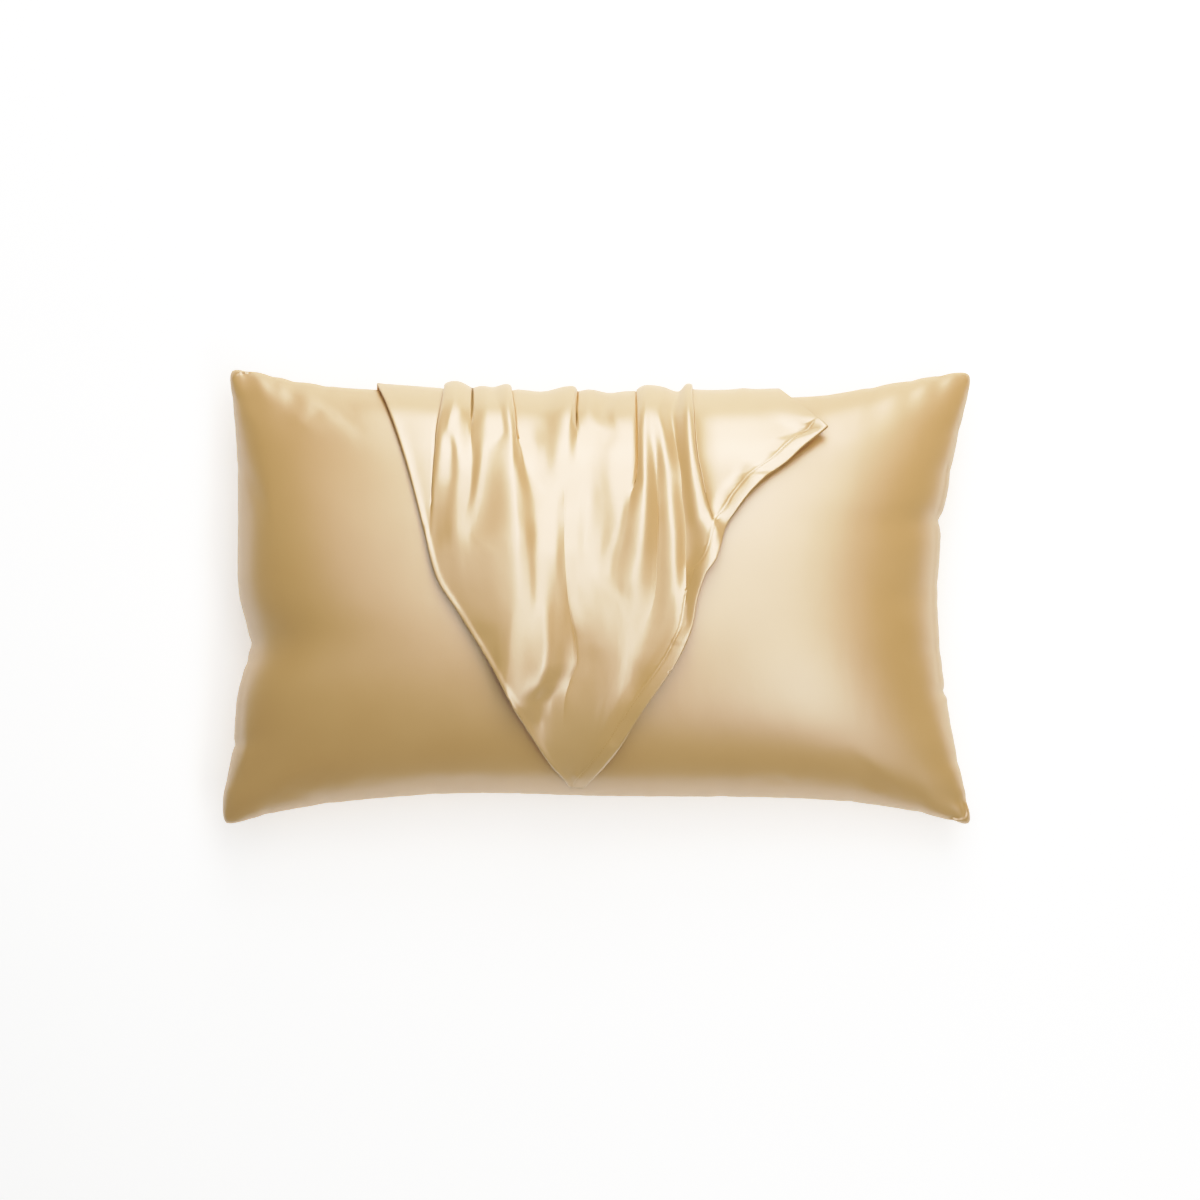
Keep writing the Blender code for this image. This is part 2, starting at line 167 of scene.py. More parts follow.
def rounded_corners(x, y):
    for corner_x, corner_y in CORNERS.values():
        reach = np.exp(-np.hypot(x - corner_x, y - corner_y) / CORNER_REACH)
        x = x - math.copysign(CORNER_ROUND, corner_x) * reach
        y = y - math.copysign(CORNER_ROUND, corner_y) * reach
    return x, y


def new_piece(name, verts, faces, uvs=None):
    """A mesh object; uvs holds one flat place in metres for each vertex."""
    mesh = bpy.data.meshes.new(name)
    mesh.from_pydata([tuple(map(float, v)) for v in verts], [], [tuple(map(int, f)) for f in faces])
    if uvs is not None:
        layer = mesh.uv_layers.new(name="cut")
        corners = np.empty(len(mesh.loops), dtype=np.int32)
        mesh.loops.foreach_get("vertex_index", corners)
        layer.data.foreach_set("uv", np.asarray(uvs, dtype=np.float32)[corners].ravel())
    mesh.shade_smooth()
    obj = bpy.data.objects.new(name, mesh)
    bpy.context.scene.collection.objects.link(obj)
    return obj


def coordinates(mesh):
    flat = np.empty(len(mesh.vertices) * 3, dtype=np.float64)
    mesh.vertices.foreach_get("co", flat)
    return flat.reshape(-1, 3)


def sewn_pillow():
    """Two panels that share the vertices of their seam, with the flat cut kept as UVs."""
    columns, rows = PANEL_CELLS
    s, t = np.meshgrid(eased_spacing(columns), eased_spacing(rows))
    grid_x, grid_y = sewn_patch(s, t)
    full, seam = fullness_at(grid_x, grid_y)
    x, y = rounded_corners(grid_x, grid_y)
    face = np.stack([x, y, seam + CROWN * full], axis=-1)
    under = np.stack([x, y, np.maximum(seam - BELLY * full, 0.0)], axis=-1)
    index_face = np.arange((rows + 1) * (columns + 1)).reshape(rows + 1, columns + 1)
    inner = (rows - 1) * (columns - 1)
    index_under = index_face.copy()
    index_under[1:-1, 1:-1] = index_face.size + np.arange(inner).reshape(rows - 1, columns - 1)
    verts = np.vstack([face.reshape(-1, 3), under[1:-1, 1:-1].reshape(-1, 3)])
    cut = np.stack([(s - 0.5) * CUT_SIZE[0], (t - 0.5) * CUT_SIZE[1]], axis=-1)
    cut_all = np.vstack([cut.reshape(-1, 2), cut[1:-1, 1:-1].reshape(-1, 2)])
    faces = []
    for index, flip in ((index_face, False), (index_under, True)):
        a, b = index[:-1, :-1].ravel(), index[:-1, 1:].ravel()
        c, d = index[1:, 1:].ravel(), index[1:, :-1].ravel()
        quads = np.stack([d, c, b, a] if flip else [a, b, c, d], axis=-1)
        faces.extend(quads.tolist())
    return new_piece("pillow_satin", verts, faces, cut_all), cut_all


def smoothed(values, edges, rounds):
    """Each vertex moved halfway to the mean of its neighbours, so many times."""
    count = np.zeros(len(values))
    np.add.at(count, edges[:, 0], 1.0)
    np.add.at(count, edges[:, 1], 1.0)
    for _ in range(rounds):
        total = np.zeros_like(values)
        np.add.at(total, edges[:, 0], values[edges[:, 1]])
        np.add.at(total, edges[:, 1], values[edges[:, 0]])
        values = 0.5 * values + 0.5 * total / count[:, None]
    return values


def smooth_step(value):
    value = np.clip(value, 0.0, 1.0)
    return value * value * (3.0 - 2.0 * value)


def puckered(obj, cut):
    """Lets the cut cloth settle round the filling, and keeps only its puckers."""
    start = coordinates(obj.data)
    obj.shape_key_add(name="filled")
    flat = obj.shape_key_add(name="cut flat")
    share = np.array(WORKED_CUT) / np.array(CUT_SIZE)
    flat_places = np.column_stack([cut * share, np.full(len(cut), SEAM_HEIGHT)])
    flat.data.foreach_set("co", flat_places.ravel())
    flat.value = 0.0
    resting = obj.vertex_groups.new(name="resting")
    resting.add([i for i, place in enumerate(start) if place[2] < 0.5 * SEAM_HEIGHT], 1.0, "REPLACE")
    cloth = obj.modifiers.new("cloth", "CLOTH")
    settings = cloth.settings
    settings.rest_shape_key = flat
    settings.vertex_group_mass = resting.name
    settings.use_pressure = True
    for name, value in CLOTH.items():
        setattr(settings, name, value)
    settings.effector_weights.gravity = 0.0
    scene = bpy.context.scene
    scene.frame_start, scene.frame_end = 1, SETTLING_STEPS
    cloth.point_cache.frame_start, cloth.point_cache.frame_end = 1, SETTLING_STEPS
    for step in range(1, SETTLING_STEPS + 1):
        scene.frame_set(step)
    settled = coordinates(obj.evaluated_get(bpy.context.evaluated_depsgraph_get()).data)
    obj.modifiers.remove(cloth)
    obj.shape_key_clear()
    scene.frame_set(1)
    edges = np.empty(len(obj.data.edges) * 2, dtype=np.int32)
    obj.data.edges.foreach_get("vertices", edges)
    edges = edges.reshape(-1, 2)
    moved = settled - start
    puckers = moved - smoothed(moved, edges, SMOOTHING_ROUNDS)
    length = np.linalg.norm(puckers, axis=1, keepdims=True)
    puckers = puckers * np.minimum(1.0, PUCKER_CAP / np.maximum(length, 1e-9))
    low, high = DRAPED_SPAN
    pressed = (start[:, 0] > low) & (start[:, 0] < high) & (start[:, 1] > PRESSED_FROM)
    calm = smoothed(np.where(pressed, PRESSED_PUCKERS, 1.0)[:, None], edges, PRESSED_ROUNDS)
    from_side = CUT_SIZE[0] / 2 - np.abs(cut[:, 0])
    from_edge = CUT_SIZE[1] / 2 - np.abs(cut[:, 1])
    near, far = PUCKER_REACH
    kept = PUCKER_GAIN * smooth_step((far - np.minimum(from_side, from_edge)) / (far - near))
    placed = start + puckers * calm * kept[:, None] * (PUCKER_SIDEWAYS, PUCKER_SIDEWAYS, 1.0)
    placed[:, 2] = np.maximum(placed[:, 2], 0.0)
    obj.data.vertices.foreach_set("co", placed.ravel())
    obj.data.update()


pillow, pillow_cut = sewn_pillow()
puckered(pillow, pillow_cut)
subdivision = pillow.modifiers.new("rounded", "SUBSURF")
subdivision.levels = subdivision.render_levels = 1
rounded = pillow.evaluated_get(bpy.context.evaluated_depsgraph_get())
pillow.data = bpy.data.meshes.new_from_object(rounded)
pillow.modifiers.clear()

# Gathers that cross the seam: (side, place along it, half width, depth, how far in it runs, lean)
GATHERS = [
    ("top", -0.3330, 0.0060, 0.0022, 0.0300, 0.25), ("top", -0.3060, 0.0050, 0.0016, 0.0220, 0.10),
    ("top", -0.2860, 0.0065, 0.0024, 0.0340, -0.10), ("top", -0.2560, 0.0050, 0.0012, 0.0180, 0.0),
    ("top", 0.2600, 0.0060, 0.0012, 0.0260, 0.10), ("top", 0.2960, 0.0055, 0.0014, 0.0220, -0.10),
    ("top", 0.3240, 0.0050, 0.0014, 0.0180, -0.20),
    ("right", 0.1560, 0.0060, 0.0012, 0.0240, 0.20), ("right", 0.1190, 0.0055, 0.0014, 0.0180, 0.10),
    ("right", 0.0720, 0.0042, 0.0036, 0.0110, 0.35), ("right", 0.0590, 0.0045, -0.0010, 0.0080, 0.0),
    ("right", 0.0120, 0.0060, 0.0010, 0.0160, 0.0), ("right", -0.0480, 0.0055, 0.0012, 0.0180, -0.10),
    ("right", -0.0890, 0.0036, 0.0038, 0.0090, -0.20), ("right", -0.0960, 0.0030, -0.0016, 0.0060, 0.0),
    ("right", -0.1540, 0.0060, 0.0014, 0.0220, 0.0), ("right", -0.1930, 0.0050, 0.0018, 0.0240, 0.15),
    ("left", 0.1880, 0.0055, 0.0014, 0.0240, -0.20), ("left", 0.1200, 0.0060, 0.0010, 0.0160, 0.0),
    ("left", -0.0443, 0.0060, 0.0034, 0.0180, 0.0), ("left", -0.0610, 0.0050, 0.0016, 0.0220, 0.20),
    ("left", -0.1395, 0.0038, 0.0034, 0.0140, 0.20), ("left", -0.1740, 0.0060, 0.0012, 0.0200, 0.10),
    ("bottom", -0.3120, 0.0055, 0.0014, 0.0200, 0.20), ("bottom", -0.2560, 0.0060, 0.0012, 0.0220, 0.10),
    ("bottom", -0.1560, 0.0065, 0.0010, 0.0240, 0.0), ("bottom", 0.1180, 0.0065, 0.0010, 0.0240, 0.0),
    ("bottom", 0.2390, 0.0060, 0.0014, 0.0260, -0.10), ("bottom", 0.3050, 0.0055, 0.0016, 0.0220, -0.20),
    ("bottom", 0.3370, 0.0045, 0.0020, 0.0160, -0.30),
]
# The seam's flap that turns over along a side: (side, from, to, width of the strip, depth)
TURNED_SEAMS = [
    ("right", 0.0720, 0.1300, 0.0062, 0.0013),
    ("right", -0.0860, 0.0700, 0.0068, 0.0009),
    ("right", -0.2120, -0.1900, 0.0060, 0.0012),
    ("left", -0.1390, -0.0600, 0.0060, 0.0008),
]
STRIP_ENDS = 0.008               # length over which the strip begins and ends
GROOVE_WIDTH = 0.0022
STRIP_WIDTH = 0.0026
STRIP_PUFF = 0.6                 # how high the strip stands, against its groove's depth
EDGE_PULL = 0.8                  # how far a gather notches the outline, against its depth
EDGE_PULL_REACH = 0.005
SEAM_FLAT = 0.003                # the cloth is level this near the seam
# Least and greatest measures of the fine puckers between the gathers
SMALL_GATHER_DEPTH = (0.0002, 0.0006)
SMALL_GATHER_EVERY = (0.009, 0.021)
SMALL_GATHER_HALF_WIDTH = (0.0036, 0.0060)
SMALL_GATHER_REACH = (0.008, 0.020)
SMALL_GATHER_LEAN = (-0.2, 0.2)
SMALL_GATHER_SPANS = {"top": (-0.340, 0.345), "bottom": (-0.345, 0.345),
                      "left": (-0.210, 0.205), "right": (-0.210, 0.205)}
SMALL_GATHER_SEED = 11


def fine_gathers():
    """Small uneven puckers all round the seam, except where the draped case presses on it."""
    chance = np.random.default_rng(SMALL_GATHER_SEED)
    found = []
    for side, (at, end) in SMALL_GATHER_SPANS.items():
        while at < end:
            at += chance.uniform(*SMALL_GATHER_EVERY)
            depth, lean = chance.uniform(*SMALL_GATHER_DEPTH), chance.uniform(*SMALL_GATHER_LEAN)
            if side != "top" or not DRAPED_SPAN[0] < at < DRAPED_SPAN[1]:
                half_width = chance.uniform(*SMALL_GATHER_HALF_WIDTH)
                found.append((side, at, half_width, depth, chance.uniform(*SMALL_GATHER_REACH), lean))
    return found


def pinch_seam(obj):
    """Presses the gathers into both faces of the filled case, and the turned seam into its top face."""
    place = coordinates(obj.data)
    x, y = place[:, 0].copy(), place[:, 1].copy()
    inward = {
        "top": (x, side_y("top", x) - y, (0.0, -1.0)),
        "bottom": (x, y - side_y("bottom", x), (0.0, 1.0)),
        "left": (y, x - side_x("left", y), (1.0, 0.0)),
        "right": (y, side_x("right", y) - x, (-1.0, 0.0)),
    }
    outside_face = np.where(place[:, 2] > SEAM_HEIGHT - CORNER_DROOP / 2, 1.0, -1.0)
    for side, at, half_width, depth, reach, lean in GATHERS + fine_gathers():
        along, distance, (to_x, to_y) = inward[side]
        distance = np.maximum(distance, 0.0)
        across = (along - at - lean * distance) / (half_width * (1.0 + distance / reach))
        push = depth * np.exp(-(across ** 2) - distance / reach)
        at_seam = EDGE_PULL * push * np.exp(-distance / EDGE_PULL_REACH)
        place[:, 0] += to_x * at_seam
        place[:, 1] += to_y * at_seam
        place[:, 2] -= outside_face * push * (1.0 - np.exp(-distance / SEAM_FLAT))
    for side, start, end, width, depth in TURNED_SEAMS:
        along, distance, _ = inward[side]
        ends = np.clip(np.minimum(along - start, end - along) / STRIP_ENDS, 0.0, 1.0)
        groove = np.exp(-(((distance - width) / GROOVE_WIDTH) ** 2))
        puff = STRIP_PUFF * np.exp(-(((distance - width / 2) / STRIP_WIDTH) ** 2))
        place[:, 2] += np.where(outside_face > 0, depth * ends * (puff - groove), 0.0)
    place[:, 2] = np.maximum(place[:, 2], 0.0)
    obj.data.vertices.foreach_set("co", place.ravel())
    obj.data.update()


pinch_seam(pillow)


# Satin: a long-float weave, so the cloth is smooth and lustrous, with a fine grain along the
# warp and faint unevenness in the way it lies.
def satin_weave_group():
    group = bpy.data.node_groups.new("satin weave", "ShaderNodeTree")
    for name, way, kind in (("Cut", "INPUT", "Vector"), ("Colour", "INPUT", "Color"),
                            ("Shade", "INPUT", "Color"), ("Roughness", "INPUT", "Float"),
                            ("Creases", "INPUT", "Float"), ("Colour", "OUTPUT", "Color"),
                            ("Roughness", "OUTPUT", "Float"), ("Normal", "OUTPUT", "Vector")):
        group.interface.new_socket(name, in_out=way, socket_type="NodeSocket" + kind)
    nodes, links = group.nodes, group.links
    given, out = nodes.new("NodeGroupInput"), nodes.new("NodeGroupOutput")

    def stretched(scale):
        node = nodes.new("ShaderNodeMapping")
        node.inputs["Scale"].default_value = scale
        links.new(given.outputs["Cut"], node.inputs["Vector"])
        return node.outputs["Vector"]

    def noise(vector, scale, detail):
        node = nodes.new("ShaderNodeTexNoise")
        node.inputs["Scale"].default_value = scale
        node.inputs["Detail"].default_value = detail
        links.new(vector, node.inputs["Vector"])
        return node.outputs["Fac"]

    def bump(height, strength, distance, normal=None):
        node = nodes.new("ShaderNodeBump")
        node.inputs["Distance"].default_value = distance
        if isinstance(strength, float):
            node.inputs["Strength"].default_value = strength
        else:
            links.new(strength, node.inputs["Strength"])
        links.new(height, node.inputs["Height"])
        if normal is not None:
            links.new(normal, node.inputs["Normal"])
        return node.outputs["Normal"]

    clouds = noise(stretched((1.0, 1.0, 1.0)), 9.0, 2.0)
    grain = noise(stretched((2600.0, 160.0, 1.0)), 1.0, 2.0)
    soft = noise(stretched((1.0, 0.35, 1.0)), 55.0, 3.0)

    tint = nodes.new("ShaderNodeMix")
    tint.data_type = "RGBA"
    spread = nodes.new("ShaderNodeMapRange")
    spread.inputs["From Min"].default_value = 0.35
    spread.inputs["From Max"].default_value = 0.70
    links.new(clouds, spread.inputs["Value"])
    links.new(spread.outputs["Result"], tint.inputs["Factor"])
    links.new(given.outputs["Colour"], tint.inputs["A"])
    links.new(given.outputs["Shade"], tint.inputs["B"])
    links.new(tint.outputs["Result"], out.inputs["Colour"])

    rougher = nodes.new("ShaderNodeMath")
    rougher.operation = "MULTIPLY_ADD"
    rougher.inputs[1].default_value = 0.06
    links.new(grain, rougher.inputs[0])
    links.new(given.outputs["Roughness"], rougher.inputs[2])
    links.new(rougher.outputs["Value"], out.inputs["Roughness"])

    uneven = bump(soft, given.outputs["Creases"], 0.0012)
    links.new(bump(grain, 0.25, 0.00004, uneven), out.inputs["Normal"])
    return group


satin_weave = satin_weave_group()


def satin(name, colour, shade, roughness, creases):
    material = bpy.data.materials.new(name)
    material.use_nodes = True
    nodes, links = material.node_tree.nodes, material.node_tree.links
    shader = nodes["Principled BSDF"]
    weave = nodes.new("ShaderNodeGroup")
    weave.node_tree = satin_weave
    cut = nodes.new("ShaderNodeUVMap")
    cut.uv_map = "cut"
    links.new(cut.outputs["UV"], weave.inputs["Cut"])
    weave.inputs["Colour"].default_value = (*colour, 1.0)
    weave.inputs["Shade"].default_value = (*shade, 1.0)
    weave.inputs["Roughness"].default_value = roughness
    weave.inputs["Creases"].default_value = creases
    links.new(weave.outputs["Colour"], shader.inputs["Base Color"])
    links.new(weave.outputs["Roughness"], shader.inputs["Roughness"])
    links.new(weave.outputs["Normal"], shader.inputs["Normal"])
    shader.inputs["IOR"].default_value = 2.0
    shader.inputs["Specular IOR Level"].default_value = 0.9
    return material


PILLOW_GOLD = (0.615, 0.392, 0.158)
PILLOW_SHADE = (0.585, 0.365, 0.140)
pillow.data.materials.append(satin("pillow satin", PILLOW_GOLD, PILLOW_SHADE, 0.36, 0.10))
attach(pillow, "root")
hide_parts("pillow")


# ------------------------------------------------------------------------------------------------
# The draped case's front panel: one rectangle of the same satin, hemmed at the open end. Its
# hemmed corner hangs down the pillow's face in soft folds that lean over one another, and the
# rest goes over the top edge, down to the floor and flat under the pillow.
CLEARANCE = 0.0036               # middle of the two panels above the pillow
EDGE_LINE = 0.1870               # the pillow's top edge, at its middle
TUCK_IN = 0.050                  # how far the case curls back under the edge
PANEL_THICK = 0.0006
PANEL_APART = 0.0008             # middle of each panel from the middle of the two
TIP_RUN, FAR_RUN = -0.1754, 0.5800
FLOOR_MIDDLE = 0.0014            # middle of the two panels above the floor
# Outline of the case, as (run, x). Run is y on the face, and past the edge line it goes on along
# the cloth, down to the floor and under the pillow.
LEFT_EDGE = [
    (-0.1754, -0.0255), (-0.1660, -0.0330), (-0.1575, -0.0410), (-0.1094, -0.0721), (-0.0745, -0.0919),
    (-0.0198, -0.1268), (0.0160, -0.1495), (0.0528, -0.1598), (0.0886, -0.1693), (0.1207, -0.1787),
    (0.1700, -0.1976), (0.1870, -0.2075), (0.2200, -0.2085), (0.2600, -0.2300), (0.3100, -0.2750),
    (0.3900, -0.3080), (0.5800, -0.0340),
]
RIGHT_EDGE = [
    (-0.1754, -0.0123), (-0.1386, 0.0189), (-0.1047, 0.0405), (-0.0481, 0.0792), (-0.0255, 0.0886),
    (-0.0009, 0.0934), (0.0207, 0.1009), (0.0339, 0.1103), (0.0528, 0.1160), (0.0594, 0.1179),
    (0.0886, 0.1377), (0.1075, 0.1565), (0.1216, 0.1763), (0.1339, 0.1914), (0.1499, 0.2159),
    (0.1700, 0.1940), (0.1870, 0.1720), (0.2200, 0.1730), (0.2500, 0.1900), (0.2950, 0.2200),
    (0.3650, 0.2500), (0.5800, -0.0260),
]
HEM_CORNER_RUN = 0.1499          # the open end's hem runs along the right edge up to here
MILLIMETRES = 1000.0
# Lines that the folds follow, from left to right, in millimetres. Each has the number of mesh
# cells from the line before it, and then, at each of the runs, its x and its height above the
# unfolded cloth. Where a line lies left of the one before it, the cloth overhangs.
FOLD_RUNS = [
    186, 167, 148, 129, 110, 91, 73, 54, 35, 16, -3, -22, -41, -59, -78, -97, -116, -135, -173,
]
FOLD_LINES = {
    "left panel": (4, [
        (-169.7, 0.6), (-166.9, 0.6), (-166.9, 0.6), (-165, 0.6), (-162.2, 0.8), (-160.3, 0.9), (-160.3, 1),
        (-159.4, 1.6), (-158.4, 2.6), (-155.6, 2.8), (-151.8, 3.6), (-149.9, 4), (-151.8, 4), (-149.9, 4),
        (-148.1, 4), (-148.1, 3), (-138.6, 2), (-129.2, 1.6), (-110.3, 1),
    ]),
    "fold foot": (5, [
        (-142.4, 0.3), (-145.2, 0.3), (-148.1, 0.3), (-149.4, 0.5), (-150.9, 0.6), (-151.8, 0.8),
        (-154.7, 1.2), (-155.6, 1.8), (-155.6, 2.9), (-151.8, 3), (-148.1, 4), (-146.2, 4.2), (-146.2, 4.2),
        (-142.4, 4.2), (-138.6, 4.2), (-136.7, 3.6), (-125.4, 2.6), (-116, 2), (-91.5, 1),
    ]),
    "fold brow": (2, [
        (-143.3, 4), (-146.4, 3.5), (-149.2, 3.1), (-150.7, 2.9), (-152, 2.6), (-153, 2.3), (-152.8, 2),
        (-153.7, 2.2), (-153.2, 3.4), (-149.9, 3.6), (-144.3, 4.4), (-142.4, 4.6), (-140.5, 4.6),
        (-136.7, 4.6), (-131.1, 4.6), (-125.4, 4), (-114.1, 3), (-104.7, 2.4), (-80.2, 1),
    ]),
    "fold lip": (4, [
        (-136.7, 7.6), (-139.1, 6.2), (-142.9, 4.9), (-145.2, 4.5), (-147.1, 3.9), (-147.6, 3.4),
        (-148.1, 3), (-149, 3.2), (-148.1, 4.6), (-145.2, 4.8), (-140.5, 5), (-136.7, 5), (-133, 5),
        (-129.2, 5), (-123.5, 5), (-116, 5), (-102.8, 4), (-93.4, 2.6), (-70.7, 1),
    ]),
    "lip hollow": (4, [
        (-132, 8), (-134.8, 6.9), (-138.6, 5.4), (-136.3, 3.9), (-136.7, 3.6), (-138.6, 4.4), (-141.4, 4.6),
        (-142.4, 5.2), (-138.6, 6.8), (-136.7, 6.6), (-133, 6.4), (-127.3, 6), (-121.6, 5.6), (-119.8, 5.6),
        (-114.1, 6), (-106.6, 6), (-93.4, 5), (-83.9, 3), (-63.2, 1),
    ]),
    "left arm": (5, [
        (-128.2, 7.2), (-131.5, 6.8), (-133, 5.3), (-129.7, 4.9), (-128.2, 4.8), (-129.2, 5.9),
        (-130.1, 7.2), (-129.2, 8.8), (-127.3, 9.2), (-126.4, 8.8), (-123.5, 8.4), (-119.8, 8), (-115, 7),
        (-112.2, 7), (-106.6, 7), (-99, 7), (-86.8, 6.4), (-80.2, 3.4), (-57.5, 1),
    ]),
    "arm valley": (5, [
        (-117.4, 2), (-116.9, 2.2), (-117.9, 2.9), (-116.9, 3.6), (-117.4, 4.5), (-118.8, 5.9),
        (-121.6, 7.4), (-122.6, 9), (-121.6, 10), (-119.8, 10), (-116, 10), (-112.2, 9.8), (-106.6, 9),
        (-104.7, 8.6), (-99, 9), (-91.5, 9), (-83, 7.2), (-76.4, 3.8), (-51.9, 1),
    ]),
    "right arm": (5, [
        (-107.5, 4.8), (-102.8, 5.8), (-102.8, 5.6), (-106.6, 5.8), (-108.9, 6.6), (-111.7, 7.2),
        (-115, 7.8), (-118.3, 9.1), (-115, 11), (-112.2, 11.5), (-106.6, 12), (-101.8, 12.3), (-97.1, 11.8),
        (-96.2, 11.2), (-92.4, 13.6), (-87.7, 13), (-80.2, 8), (-72.6, 4.2), (-46.2, 1),
    ]),
    "roll start": (6, [
        (-99, 4), (-91.9, 5.6), (-88.6, 5.2), (-100.9, 5.9), (-102.8, 6.8), (-105.6, 7.4), (-109.4, 8.1),
        (-113.2, 9.7), (-91.5, 15.4), (-89.6, 15.8), (-87.7, 15.8), (-86.8, 15.4), (-87.7, 14.8),
        (-87.7, 15), (-88.6, 15.8), (-85.3, 14.8), (-77.3, 9), (-68.8, 4.6), (-42.4, 1),
    ]),
    "roll left": (7, [
        (-84.9, 7.6), (-83.5, 6.8), (-81.1, 6.2), (-79.7, 7.6), (-79.7, 9.4), (-77.8, 11.4), (-76.4, 13.6),
        (-75.4, 15.8), (-75.4, 17), (-74.5, 17.2), (-74, 17.1), (-76.4, 16.8), (-79.2, 16.6), (-80.2, 16.8),
        (-83, 17.2), (-82, 16.2), (-74.5, 9.6), (-65.1, 4.8), (-39.6, 1),
    ]),
    "roll brow": (5, [
        (-81.5, 5.4), (-78, 4.8), (-76.4, 4.6), (-75, 5.8), (-74.5, 8.6), (-71.7, 10.4), (-70.7, 12.5),
        (-67.9, 14.4), (-66, 15.2), (-64.1, 15.5), (-63.2, 15.6), (-65.1, 15.6), (-67, 15.8), (-67.9, 16),
        (-69.8, 16.2), (-76.4, 15.8), (-70.7, 9.4), (-61.3, 4.8), (-36.8, 1),
    ]),
    "roll foot": (6, [
        (-81.3, 1), (-77.7, 1), (-75, 1.2), (-69.3, 2.8), (-65.1, 4.6), (-59.4, 6.4), (-56.6, 8),
        (-55.6, 9.6), (-55.6, 11.8), (-55.6, 12.8), (-55.6, 13.7), (-57.5, 14.8), (-57.5, 15.4),
        (-57.5, 15.6), (-60.4, 15), (-67.9, 13.6), (-66, 8.4), (-57.5, 4.5), (-33.9, 1),
    ]),
    "roll right": (5, [
        (-74.5, 2.6), (-67.9, 1.4), (-63.2, 1.2), (-59.4, 2.6), (-57.5, 3.8), (-45.3, 4.8), (-45.3, 6.6),
        (-45.3, 8.2), (-46.2, 10.5), (-47.1, 11.6), (-48.6, 12.8), (-50, 14.6), (-49, 15), (-50, 15),
        (-53.8, 13.6), (-60.4, 10.6), (-59.4, 6.4), (-52.8, 4), (-31.1, 1),
    ]),
    "roll slope": (4, [
        (-52.8, 1.2), (-50.9, 2.2), (-48.1, 2.8), (-48.1, 3.2), (-48.1, 3.9), (-38.7, 4.5), (-38.7, 6),
        (-38.7, 7.4), (-38.7, 9.3), (-38.7, 9.6), (-38.7, 9.8), (-39.6, 11), (-39.6, 11.4), (-40.5, 11.2),
        (-45.3, 9.2), (-50.9, 5.8), (-50, 3.3), (-46.2, 3.2), (-28.3, 1),
    ]),
    "crease lip": (4, [
        (-24.5, 7.2), (-28.3, 6.2), (-31.1, 5.4), (-34.9, 4.8), (-37.7, 4.2), (-32.5, 3.7), (-33, 5),
        (-33, 5.9), (-32.5, 7.2), (-31.6, 7.2), (-30.2, 6.8), (-31.1, 7.6), (-29.2, 6.8), (-29.2, 6),
        (-35.8, 5), (-41.5, 3.4), (-40.5, 2.9), (-38.7, 2.8), (-25.5, 1),
    ]),
    "crease": (3, [
        (-21.7, 6.6), (-24.5, 5.9), (-27.3, 5.3), (-28.8, 4.7), (-29.2, 3.8), (-30, 3.2), (-30.6, 4.6),
        (-30.6, 5.2), (-29.9, 6.4), (-28.5, 6.2), (-26.9, 5.4), (-23.6, 4.4), (-19.8, 3.2), (-18.9, 2.9),
        (-25.5, 2.7), (-30.2, 3.3), (-31.1, 3.1), (-30.2, 2.7), (-22.6, 1),
    ]),
    "old crease": (4, [
        (-18.6, 1.6), (-19.5, 1.6), (-18.4, 2.8), (-17.9, 3.2), (-14.1, 3.2), (-18.9, 3.2), (-19.8, 3.8),
        (-19.8, 4.3), (-18.9, 5.2), (-17.9, 5.2), (-16, 4.7), (-13.2, 4.6), (-8.5, 4.5), (-7.5, 4.1),
        (-11.3, 4.2), (-17, 4.2), (-19.8, 3.6), (-20.7, 2.7), (-20.7, 1),
    ]),
    "soft crest": (5, [
        (-7.5, 3.8), (-7.5, 3.2), (-4.7, 2.8), (-7.5, 3), (-6.6, 3), (-6.6, 2.4), (-7.5, 2.4), (-9.4, 2.8),
        (-8.5, 3.8), (-6.6, 4.6), (-4.7, 4.9), (-0.9, 5.4), (1.9, 5.5), (1.9, 5.1), (-0.9, 5.1),
        (-6.6, 4.8), (-11.3, 4), (-15.1, 2.8), (-18.9, 1),
    ]),
    "soft hollow": (5, [
        (12.3, 0.6), (6.6, 1.4), (9.4, 3.2), (0, 3.2), (1.9, 3.4), (4.2, 3.4), (4.7, 3.3), (2.8, 3),
        (0.9, 3.2), (0.9, 4.6), (4.7, 5.5), (8.5, 6), (9.4, 5.9), (9.4, 5.6), (6.6, 5.4), (0.9, 5.1),
        (-3.8, 4.3), (-11.3, 2.9), (-17, 1),
    ]),
    "soft ridge": (5, [
        (26.4, 2.2), (18.9, 3.4), (23.6, 4), (16, 4.2), (14.1, 4.4), (17, 4.7), (17.9, 5), (14.1, 4.6),
        (8.5, 3.6), (7.5, 4.8), (12.3, 6), (14.1, 6.1), (15.1, 6), (14.1, 5.7), (10.4, 5.5), (4.7, 5.1),
        (0, 4.4), (-7.5, 3.1), (-15.1, 1),
    ]),
    "turn edge": (4, [
        (35.2, 2.6), (34.9, 3.4), (34.9, 3.8), (35.2, 4.1), (33, 4.1), (25.5, 4.8), (22.6, 5.2),
        (18.9, 4.8), (13.2, 3.8), (12.3, 5.1), (17.9, 6.3), (18.9, 6.2), (18.9, 6), (17.9, 5.7),
        (14.1, 5.5), (8.5, 5.2), (3.8, 4.6), (-3.8, 3.4), (-13.2, 1),
    ]),
    "turn foot": (4, [
        (37.1, 0.6), (37.2, 0.8), (37.7, 1.2), (37.7, 1.4), (36.8, 2.6), (31.1, 5.2), (28.3, 6.4),
        (24.5, 5.8), (19.8, 5), (17.9, 5.9), (21.7, 6.5), (22.6, 6.2), (22.6, 5.8), (21.7, 5.6),
        (17.9, 5.4), (12.3, 5.2), (7.5, 4.7), (-0.9, 3.6), (-11.3, 1),
    ]),
